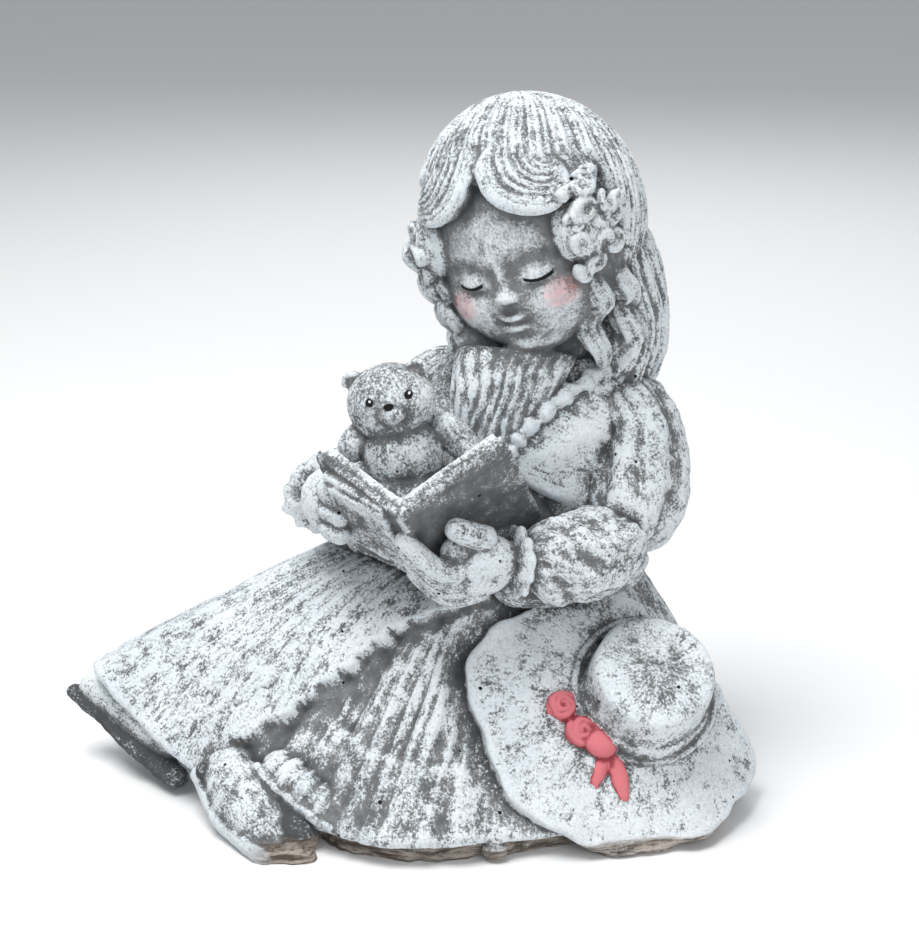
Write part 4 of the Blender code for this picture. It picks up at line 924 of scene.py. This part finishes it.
def hat(clay):
    """A soft brim that waves and droops over the skirt, and a low round crown."""
    place = hat_frame()
    top_share = 0.46

    def brim(u, v):
        reach = brim_reach(u) + 1.3 * np.sin(math.tau * 9 * u) + 0.5 * np.sin(math.tau * 23 * u)
        turn = math.tau * u
        upper = v < 0.5
        share = np.clip(np.where(upper, v, 1 - v) / top_share, 0, 1)
        r = reach * share
        across, up = r * np.cos(turn), r * np.sin(turn)
        edge = smooth_step(v, top_share, 1 - top_share)
        backing = 16 + 16 * smooth_step(across, 5, 45)
        low = BRIM_THICKNESS + (backing - BRIM_THICKNESS) * smooth_step(1 - share, 0, 0.10)
        under = np.where(share < 1, ~upper * low, edge * BRIM_THICKNESS)
        lip = 0.8 * bell(share, 0.97, 0.03) * upper
        return np.column_stack([across, up, brim_shape(across, turn, share) - under + lip])

    clay.skin(brim, *BRIM_GRID, place, FELT)

    lean = Matrix.Translation((*CROWN_PLACE, 0)) @ Matrix.Rotation(CROWN_LEAN, 4, "X")

    def bowl(u, v):
        turn = math.tau * u
        profile = spline(
            [
                (0, -12), (CROWN_FOOT * 0.6, -12), (CROWN_FOOT, -10), (CROWN_FOOT, 1), (CROWN_TOP + 2.6, 4),
                (CROWN_TOP + 1.6, CROWN_HEIGHT * 0.45), (CROWN_TOP + 1.2, CROWN_HEIGHT * 0.84),
                (CROWN_TOP, CROWN_HEIGHT * 0.96), (CROWN_TOP - 2.5, CROWN_HEIGHT),
                (CROWN_TOP * 0.5, CROWN_HEIGHT * 1.02), (0, CROWN_HEIGHT * 1.03),
            ],
            v,
        )
        r = np.maximum(profile[:, 0], 0) * (1 + 0.012 * np.sin(3 * turn + 1) + 0.008 * np.sin(7 * turn))
        return np.column_stack([r * np.cos(turn), r * np.sin(turn), profile[:, 1]])

    clay.skin(bowl, *CROWN_GRID, place @ lean, SMOOTH)
    ring = np.linspace(0, math.tau, 41)
    wide = CROWN_FOOT + 2.5
    band = [(CROWN_PLACE[0] + wide * math.cos(a), CROWN_PLACE[1] + wide * math.sin(a), 0.6) for a in ring]
    clay.tube(band, [1.7] * len(band), place=place, around=10, along=200, finish=SMOOTH)
    roses(clay, place)


def roses(clay, place):
    """Two roses and the ends of their ribbon, on the brim beside the crown."""
    for x, y, size, start in ((-38.0, 2.5, 8.2, 0.4), (-30.8, -10.0, 8.6, 2.2)):
        spiral = []
        for t in np.linspace(0, 1, 21):
            angle = start + math.tau * ROSE_TURNS * t
            reach = size * (0.72 - 0.62 * t) * (1 + 0.10 * math.sin(3.3 * angle))
            spiral.append((x + reach * math.cos(angle), y + reach * math.sin(angle), 2.0 + 1.8 * t))
        clay.ball((x, y, 0), (size * 0.95, size * 0.9, 3.6), place, 24, 14, ROSE)
        clay.tube(spiral, [1.9, 2.0, 1.8, 1.3], place=place, around=12, along=130, finish=ROSE)
    for route, radii, flat in (
        ([(-30, -13, 1.8), (-24, -17, 3.0), (-17, -22, 1.8)], [5.0, 6.4, 5.0], 0.7),
        ([(-28, -8, 1.8), (-21, -13, 3.0), (-15, -19, 1.8)], [3.6, 4.2, 3.4], 0.7),
        ([(-22, -23, 1), (-25, -29, 1), (-30, -37, 0.5)], [2.8, 3.4, 1.4], 0.5),
        ([(-19, -22, 1), (-17, -33, 1), (-16, -45, 0.5)], [3.0, 4.2, 1.5], 0.5),
    ):
        clay.tube(route, radii, flat=flat, place=place, finish=ROSE)


def vertex_values(mesh, name):
    """Each vertex's place, which is its "co", or its "normal"."""
    values = np.empty(len(mesh.vertices) * 3, np.float32)
    mesh.vertices.foreach_get(name, values)
    return values.reshape(-1, 3).astype(float)


def move_vertices(mesh, places):
    mesh.vertices.foreach_set("co", places.astype(np.float32).ravel())
    mesh.update()


def edge_ends(mesh):
    ends = np.empty(len(mesh.edges) * 2, np.int32)
    mesh.edges.foreach_get("vertices", ends)
    return ends.reshape(-1, 2).T


def standing_out(mesh, rounds):
    """How far each vertex stands out of the surface once it is smoothed over rounds steps, in grains."""
    a, b = edge_ends(mesh)
    ends = np.concatenate([a, b])
    others = np.concatenate([b, a])
    count = np.maximum(np.bincount(ends, minlength=len(mesh.vertices)), 1)
    start, normals = vertex_values(mesh, "co"), vertex_values(mesh, "normal")
    now = start.copy()
    kept = {}
    for step in range(1, max(rounds) + 1):
        sums = np.column_stack([np.bincount(ends, now[others, k], len(now)) for k in range(3)])
        now = (now + sums / count[:, None]) / 2
        if step in rounds:
            kept[step] = ((start - now) * normals).sum(1)
    return [kept[step] for step in rounds]


def carve_fine_relief(clay, mesh):
    """Brings the skin back onto the forms it was fused from, and roughens the cast edge at the ground."""
    places = vertex_values(mesh, "co")
    spots, brush = clay.under(places)
    back = spots - places
    near = 1 - smooth_step(np.linalg.norm(back, axis=1), 0.5 * CARVING_CELL, 1.0 * CARVING_CELL)
    places = places + back * (0.85 * near)[:, None]
    move_vertices(mesh, places)
    normals = vertex_values(mesh, "normal")
    furrows = grit(np.column_stack([brush[:, 0] * 0.55, brush[:, 1] * 0.4, brush[:, 2]]), 1.0, 3)
    rumple = brush[:, 4]
    lumps = 0.8 * grit(places, 13.0, 8) + 0.55 * grit(places, 6.5, 9) + 0.35 * grit(places, 3.2, 10)
    depth = rumple * lumps + 0.18 * furrows * (rumple > 0.1)
    near_ground = (1 - smooth_step(places[:, 2], *BARE_TOP)) * smooth_step(places[:, 0], *BARE_START)
    strata = grit(places / STRATA_SIZE, 1.0, 6)
    crumbs = 1.4 * grit(places, 4.5, 7) + 1.5 * grit(places, 17.0, 11)
    depth = depth + near_ground * (2.2 * strata + crumbs) * (normals[:, 2] > -0.5)
    move_vertices(mesh, places + normals * depth[:, None])


def apply_modifier(obj, kind, **settings):
    modifier = obj.modifiers.new(kind, kind)
    for name, value in settings.items():
        setattr(modifier, name, value)
    bpy.context.view_layer.update()
    graph = bpy.context.evaluated_depsgraph_get()
    obj.data = bpy.data.meshes.new_from_object(obj.evaluated_get(graph))
    obj.modifiers.clear()


def remeshed(clay):
    """The gathered forms as one skin with its fine relief, thinned and cut off flat at the ground."""
    mesh = bpy.data.meshes.new("statue")
    clay.mesh.to_mesh(mesh)
    clay.mesh.free()
    statue = bpy.data.objects.new("cast_stone_statue", mesh)
    bpy.context.collection.objects.link(statue)
    apply_modifier(statue, "REMESH", mode="VOXEL", voxel_size=CARVING_CELL)
    apply_modifier(statue, "SMOOTH", iterations=SOFTEN_ROUNDS, factor=SOFTEN_SHARE)
    keep_outer_skin(statue.data)
    carve_fine_relief(clay, statue.data)
    statue.data.calc_loop_triangles()
    ratio = min(1, MOST_TRIANGLES / len(statue.data.loop_triangles))
    apply_modifier(statue, "DECIMATE", ratio=ratio, use_collapse_triangulate=True)
    cut_flat(statue.data)
    keep_outer_skin(statue.data)
    return statue


def keep_outer_skin(mesh):
    """Leaves the largest of the mesh's skins: smaller ones wrap bubbles that the forms closed in."""
    a, b = edge_ends(mesh)
    label = np.arange(len(mesh.vertices))
    while True:
        low = np.minimum(label[a], label[b])
        before = label.copy()
        np.minimum.at(label, a, low)
        np.minimum.at(label, b, low)
        label = label[label]
        if (label == before).all():
            break
    main_skin = np.bincount(label).argmax()
    if (label == main_skin).all():
        return
    whole = bmesh.new()
    whole.from_mesh(mesh)
    whole.verts.ensure_lookup_table()
    spare = [whole.verts[k] for k in np.flatnonzero(label != main_skin)]
    bmesh.ops.delete(whole, geom=spare, context="VERTS")
    whole.to_mesh(mesh)
    whole.free()


def cut_flat(mesh):
    """Takes away what is under the ground and closes the flat underside."""
    solid = bmesh.new()
    solid.from_mesh(mesh)
    everything = solid.verts[:] + solid.edges[:] + solid.faces[:]
    ground = {"plane_co": (0, 0, 0), "plane_no": (0, 0, 1)}
    cut = bmesh.ops.bisect_plane(solid, geom=everything, clear_inner=True, **ground)
    rim = [e for e in cut["geom_cut"] if isinstance(e, bmesh.types.BMEdge)]
    bmesh.ops.holes_fill(solid, edges=rim)
    bmesh.ops.triangulate(solid, faces=solid.faces)
    solid.to_mesh(mesh)
    solid.free()


def note_finish(clay, mesh):
    """Keeps on the mesh what the finish needs: the brush's way, the wash with its painted shade, the ridges
    and the hollows.
    """
    _, brush = clay.under(vertex_values(mesh, "co"))
    fine, broad = standing_out(mesh, (RIDGE_ROUNDS, SWELL_ROUNDS))
    way = mesh.attributes.new("brush_way", "FLOAT_VECTOR", "POINT")
    way.data.foreach_set("vector", brush[:, :3].astype(np.float32).ravel())
    calm = (brush[:, 4] < 0.05).astype(float)
    for name, values in (("wash_and_shade", brush[:, 3]), ("calm", calm), ("ridge", fine), ("swell", broad)):
        kept = mesh.attributes.new(name, "FLOAT", "POINT")
        kept.data.foreach_set("value", values.astype(np.float32))


class Nodes:
    """Short ways to wire a material."""

    def __init__(self, material):
        material.use_nodes = True
        self.tree = material.node_tree
        self.shader = self.tree.nodes["Principled BSDF"]

    def socket(self, target, value):
        if isinstance(value, bpy.types.NodeSocket):
            self.tree.links.new(value, target)
        else:
            target.default_value = value

    def add(self, kind, inputs, **settings):
        """A new node with these settings. Its inputs, by name or number, are wired or set."""
        node = self.tree.nodes.new("ShaderNode" + kind)
        for name, value in settings.items():
            setattr(node, name, value)
        for key, value in inputs.items():
            self.socket(node.inputs[key], value)
        return node

    def math(self, operation, a, b=0.0):
        return self.add("Math", {0: a, 1: b}, operation=operation).outputs[0]

    def times(self, a, b):
        return self.math("MULTIPLY", a, b)

    def plus(self, a, b):
        return self.math("ADD", a, b)

    def step(self, value, low, high, to_low=0.0, to_high=1.0):
        numbers = dict(enumerate((value, low, high, to_low, to_high)))
        return self.add("MapRange", numbers, interpolation_type="SMOOTHSTEP").outputs[0]

    def fade(self, value, low, high):
        return self.step(value, low, high, 1.0, 0.0)

    def mix(self, share, a, b):
        return self.add("Mix", {"Factor": share, 6: a, 7: b}, data_type="RGBA").outputs[2]

    def attribute(self, name, output="Fac"):
        return self.add("Attribute", {}, attribute_name=name).outputs[output]

    def noise(self, vector, scale, detail, rough):
        inputs = {"Vector": vector, "Scale": scale, "Detail": detail, "Roughness": rough}
        return self.add("TexNoise", inputs).outputs[0]

    def placed(self, vector, place):
        """vector as seen from the frame that place describes."""
        spot, turn, scale = place.decompose()
        inputs = {"Vector": vector, "Location": spot, "Rotation": turn.to_euler("XYZ"), "Scale": scale}
        return self.add("Mapping", inputs, vector_type="TEXTURE").outputs[0]

    def far_from(self, vector, spot, radii):
        """How far vector is from spot, counted in radii."""
        inputs = {"Vector": vector, "Location": spot, "Scale": radii}
        counted = self.add("Mapping", inputs, vector_type="TEXTURE").outputs[0]
        return self.add("VectorMath", {0: counted}, operation="LENGTH").outputs["Value"]

    def parts(self, vector):
        return self.add("SeparateXYZ", {0: vector}).outputs


def lash_ink(nodes, own):
    """The painted lashes: a shallow arc along the foot of each lowered lid."""
    x, y, z = nodes.parts(own)
    across = nodes.math("SUBTRACT", nodes.math("ABSOLUTE", x), 17.0)
    bow = nodes.times(nodes.times(across, across), 0.035)
    off = nodes.math("ABSOLUTE", nodes.math("SUBTRACT", z, nodes.plus(bow, -6.2)))
    line = nodes.fade(off, 0.75, 1.15)
    short = nodes.fade(nodes.math("ABSOLUTE", across), 6.2, 7.4)
    front = nodes.step(y, -25.0, -30.0)
    return nodes.times(nodes.times(line, short), front)


def bear_ink_and_glint(nodes, own):
    """The bear's black eyes and nose, and a painted highlight, a small white glint, in each eye."""
    ink = 0.0
    glint = 0.0
    for spot in ((-6.6, -16.5, 6.3), (11.4, -14.0, 6.3)):
        near = nodes.far_from(own, spot, (2.0, 5.0, 2.0))
        ink = nodes.math("MAXIMUM", nodes.fade(near, 0.85, 1.1), ink)
        glint_near = nodes.far_from(own, (spot[0] + 0.3, spot[1], spot[2] + 0.5), (0.6, 6.0, 0.6))
        glint = nodes.math("MAXIMUM", nodes.fade(glint_near, 0.8, 1.1), glint)
    nose = nodes.far_from(own, (2.0, -20, 3.6), (3.0, 5.0, 1.7))
    return nodes.math("MAXIMUM", nodes.fade(nose, 0.85, 1.1), ink), glint


def earth_stain(nodes, coordinates, flecks):
    """How strongly the bare edge at the ground is stained in layers, and the stain's colour."""
    x, _, height = nodes.parts(coordinates)
    layers = nodes.noise(nodes.placed(coordinates, Matrix.Diagonal((0.05, 0.05, 0.006, 1))), 3.0, 4.0, 0.7)
    ragged = nodes.plus(height, nodes.times(layers, 0.006))
    low = nodes.times(nodes.fade(ragged, 0.0085, 0.0125), nodes.step(x, -0.075, -0.055))
    earth = nodes.mix(nodes.step(layers, 0.42, 0.60), EARTH_DARK, EARTH_PALE)
    return nodes.times(low, nodes.step(flecks, 0.25, 0.5, 0.45, 0.95)), earth


def whitewashed_stone(to_frame):
    """Grey cast concrete, dry-brushed white on all that stands out, with pinholes and a little paint.
    Painted shade darkens hollows, forms in shade and pinholes, and a painted highlight sits in each of the
    bear's eyes.
    """
    material = bpy.data.materials.new("whitewashed_stone")
    nodes = Nodes(material)
    coordinates = nodes.add("TexCoord", {}).outputs["Object"]
    wash_and_shade, ridge, swell, calm = (nodes.attribute(name) for name in ("wash_and_shade", "ridge", "swell", "calm"))
    strokes = nodes.noise(nodes.attribute("brush_way", "Vector"), 1.0, 4.0, 0.75)
    flecks = nodes.noise(coordinates, 820.0, 2.0, 0.8)
    blotches = nodes.noise(coordinates, 130.0, 4.0, 0.65)
    clouds = nodes.noise(coordinates, 24.0, 2.0, 0.5)

    paint = 0.0
    for pattern, weight in ((strokes, 2.6), (flecks, 3.2), (blotches, 2.4), (clouds, 1.0)):
        centred = nodes.math("SUBTRACT", pattern, 0.5)
        paint = nodes.plus(nodes.times(centred, weight), paint)
    paint = nodes.times(paint, nodes.step(calm, 0.0, 1.0, 1.0, 0.45))
    for more in (ridge, nodes.step(swell, -1.6, 1.8, -0.42, 0.24), nodes.math("MINIMUM", wash_and_shade, 0.5)):
        paint = nodes.plus(paint, more)
    white = nodes.step(paint, -0.55, 0.45)

    grey = nodes.mix(nodes.step(blotches, 0.3, 0.7), STONE_DARK, STONE_LIGHT)
    # Painted shade: the grey sinks to near black in the deepest hollows.
    grey = nodes.mix(nodes.times(nodes.fade(swell, -2.6, -0.7), 0.75), grey, HOLLOW_SHADE)
    # Painted shade: where the wash value is lowest, on the forms left grey as shade, the grey is darker
    # still; the book's covers get it too.
    grey = nodes.mix(nodes.step(wash_and_shade, -0.5, -1.4), grey, STONE_SHADED)
    colour = nodes.mix(white, grey, nodes.mix(nodes.step(clouds, 0.35, 0.65), WASH_THIN, WASH_THICK))
    colour = nodes.mix(nodes.step(flecks, 0.25, 0.75, 0.25, 0.0), colour, STONE_GRAIN)
    stained, earth = earth_stain(nodes, coordinates, flecks)
    colour = nodes.mix(stained, colour, earth)

    own = nodes.placed(coordinates, to_frame @ HEAD)
    for hand in (-1, 1):
        near = nodes.far_from(own, (24 * hand, -38, -15), (10.5, 16.0, 9.0))
        blush = nodes.times(nodes.step(near, 0.35, 1.0, 0.75, 0.0), nodes.step(flecks, 0.35, 0.62))
        colour = nodes.mix(blush, colour, BLUSH_PINK)
    petal = nodes.mix(nodes.step(ridge, -0.35, 0.25), ROSE_DEEP, ROSE_PINK)
    colour = nodes.mix(nodes.step(wash_and_shade, 1.2, 1.6), colour, petal)
    colour = nodes.mix(lash_ink(nodes, own), colour, LASH_BLACK)
    ink, glint = bear_ink_and_glint(nodes, nodes.placed(coordinates, to_frame @ BEAR_HEAD))
    colour = nodes.mix(ink, colour, BEAR_BLACK)
    # Painted highlight: a small white glint in each of the bear's eyes.
    colour = nodes.mix(glint, colour, EYE_GLINT_WHITE)

    # Pinholes dent the bump; their black is painted shade inside them, and the calm face has none.
    pits = nodes.add("TexVoronoi", {"Vector": coordinates, "Scale": 110.0})
    size = nodes.times(nodes.step(nodes.parts(pits.outputs["Color"])[0], 0.6, 1.0), 0.11)
    pit = nodes.fade(nodes.math("SUBTRACT", pits.outputs["Distance"], size), -0.02, 0.01)
    pit = nodes.times(pit, nodes.fade(calm, 0.0, 1.0))
    colour = nodes.mix(pit, colour, PIT_SHADE_BLACK)

    relief = nodes.plus(nodes.times(flecks, 0.5), nodes.times(strokes, 0.6))
    relief = nodes.plus(relief, nodes.times(white, 0.35))
    relief = nodes.math("SUBTRACT", relief, nodes.times(pit, 1.5))
    bump = nodes.add("Bump", {"Strength": 0.6, "Distance": 0.0009, "Height": relief})
    roughness = nodes.step(white, 0.0, 1.0, 0.95, 0.8)
    shown = {"Base Color": colour, "Normal": bump.outputs[0], "Roughness": roughness}
    for name, value in (shown | {"Specular IOR Level": 0.25}).items():
        nodes.socket(nodes.shader.inputs[name], value)
    return material


def statue():
    """The whole statue as one piece, set into the frame's box. Returns the way from grains to the frame."""
    clay = Clay()
    body = (skirt, shoes, trunk, sash, pleats_and_collar, near_arm, far_arm, lap_core)
    for form in (*body, book, bear, face, hair, hat):
        form(clay)
    piece = remeshed(clay)
    note_finish(clay, piece.data)
    places = vertex_values(piece.data, "co")
    low, high = Vector(places.min(0)), Vector(places.max(0))
    scale = (BOX_HIGH.z - BOX_LOW.z) / (high.z - low.z)
    middle = (low + high) / 2
    box_middle = (BOX_LOW + BOX_HIGH) / 2
    foot = Vector((box_middle.x, box_middle.y, BOX_LOW.z))
    to_origin = Matrix.Translation((-middle.x, -middle.y, -low.z))
    to_frame = Matrix.Translation(foot) @ Matrix.Scale(scale, 4) @ to_origin
    piece.data.transform(to_frame)
    piece.data.materials.append(whitewashed_stone(to_frame))
    piece.data.shade_smooth()
    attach(piece, "root")
    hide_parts(NODE)
    return to_frame


def set_down(name, data, place):
    obj = bpy.data.objects.new(name, data)
    obj.location = place
    bpy.context.collection.objects.link(obj)
    return obj


def light(name, place, aim, size, power):
    lamp = bpy.data.lights.new(name, "AREA")
    lamp.shape = "DISK"
    lamp.size = size
    lamp.energy = power
    obj = set_down(name, lamp, place)
    obj.rotation_euler = (Vector(aim) - Vector(place)).to_track_quat("-Z", "Y").to_euler()


def studio(to_frame):
    """A pale floor, soft light from above and the left, and the camera where the photographer stood."""
    floor = bpy.data.meshes.new("floor")
    plane = bmesh.new()
    bmesh.ops.create_grid(plane, x_segments=1, y_segments=1, size=FLOOR_REACH)
    plane.to_mesh(floor)
    plane.free()
    pale = bpy.data.materials.new("pale_floor")
    nodes = Nodes(pale)
    nodes.socket(nodes.shader.inputs["Base Color"], FLOOR_PALE)
    nodes.socket(nodes.shader.inputs["Roughness"], 0.9)
    floor.materials.append(pale)
    set_down("floor", floor, (0, 0, 0))

    for name, place, aim_height, size, power in LIGHTS:
        light(name, place, (0, 0, aim_height), size, power)
    world = bpy.data.worlds.new("studio")
    bpy.context.scene.world = world
    world.use_nodes = True
    background = world.node_tree.nodes["Background"].inputs
    background["Color"].default_value = SKY_PALE
    background["Strength"].default_value = SKY_STRENGTH

    camera = bpy.data.cameras.new("photographer")
    camera.lens = CAMERA_LENS
    camera.sensor_fit = "AUTO"
    stand = set_down("photographer", camera, to_frame @ Vector(CAMERA_PLACE))
    stand.rotation_euler = (CAMERA_TILT, 0, 0)
    bpy.context.scene.camera = stand
    bpy.context.scene.view_settings.view_transform = "Standard"


studio(statue())
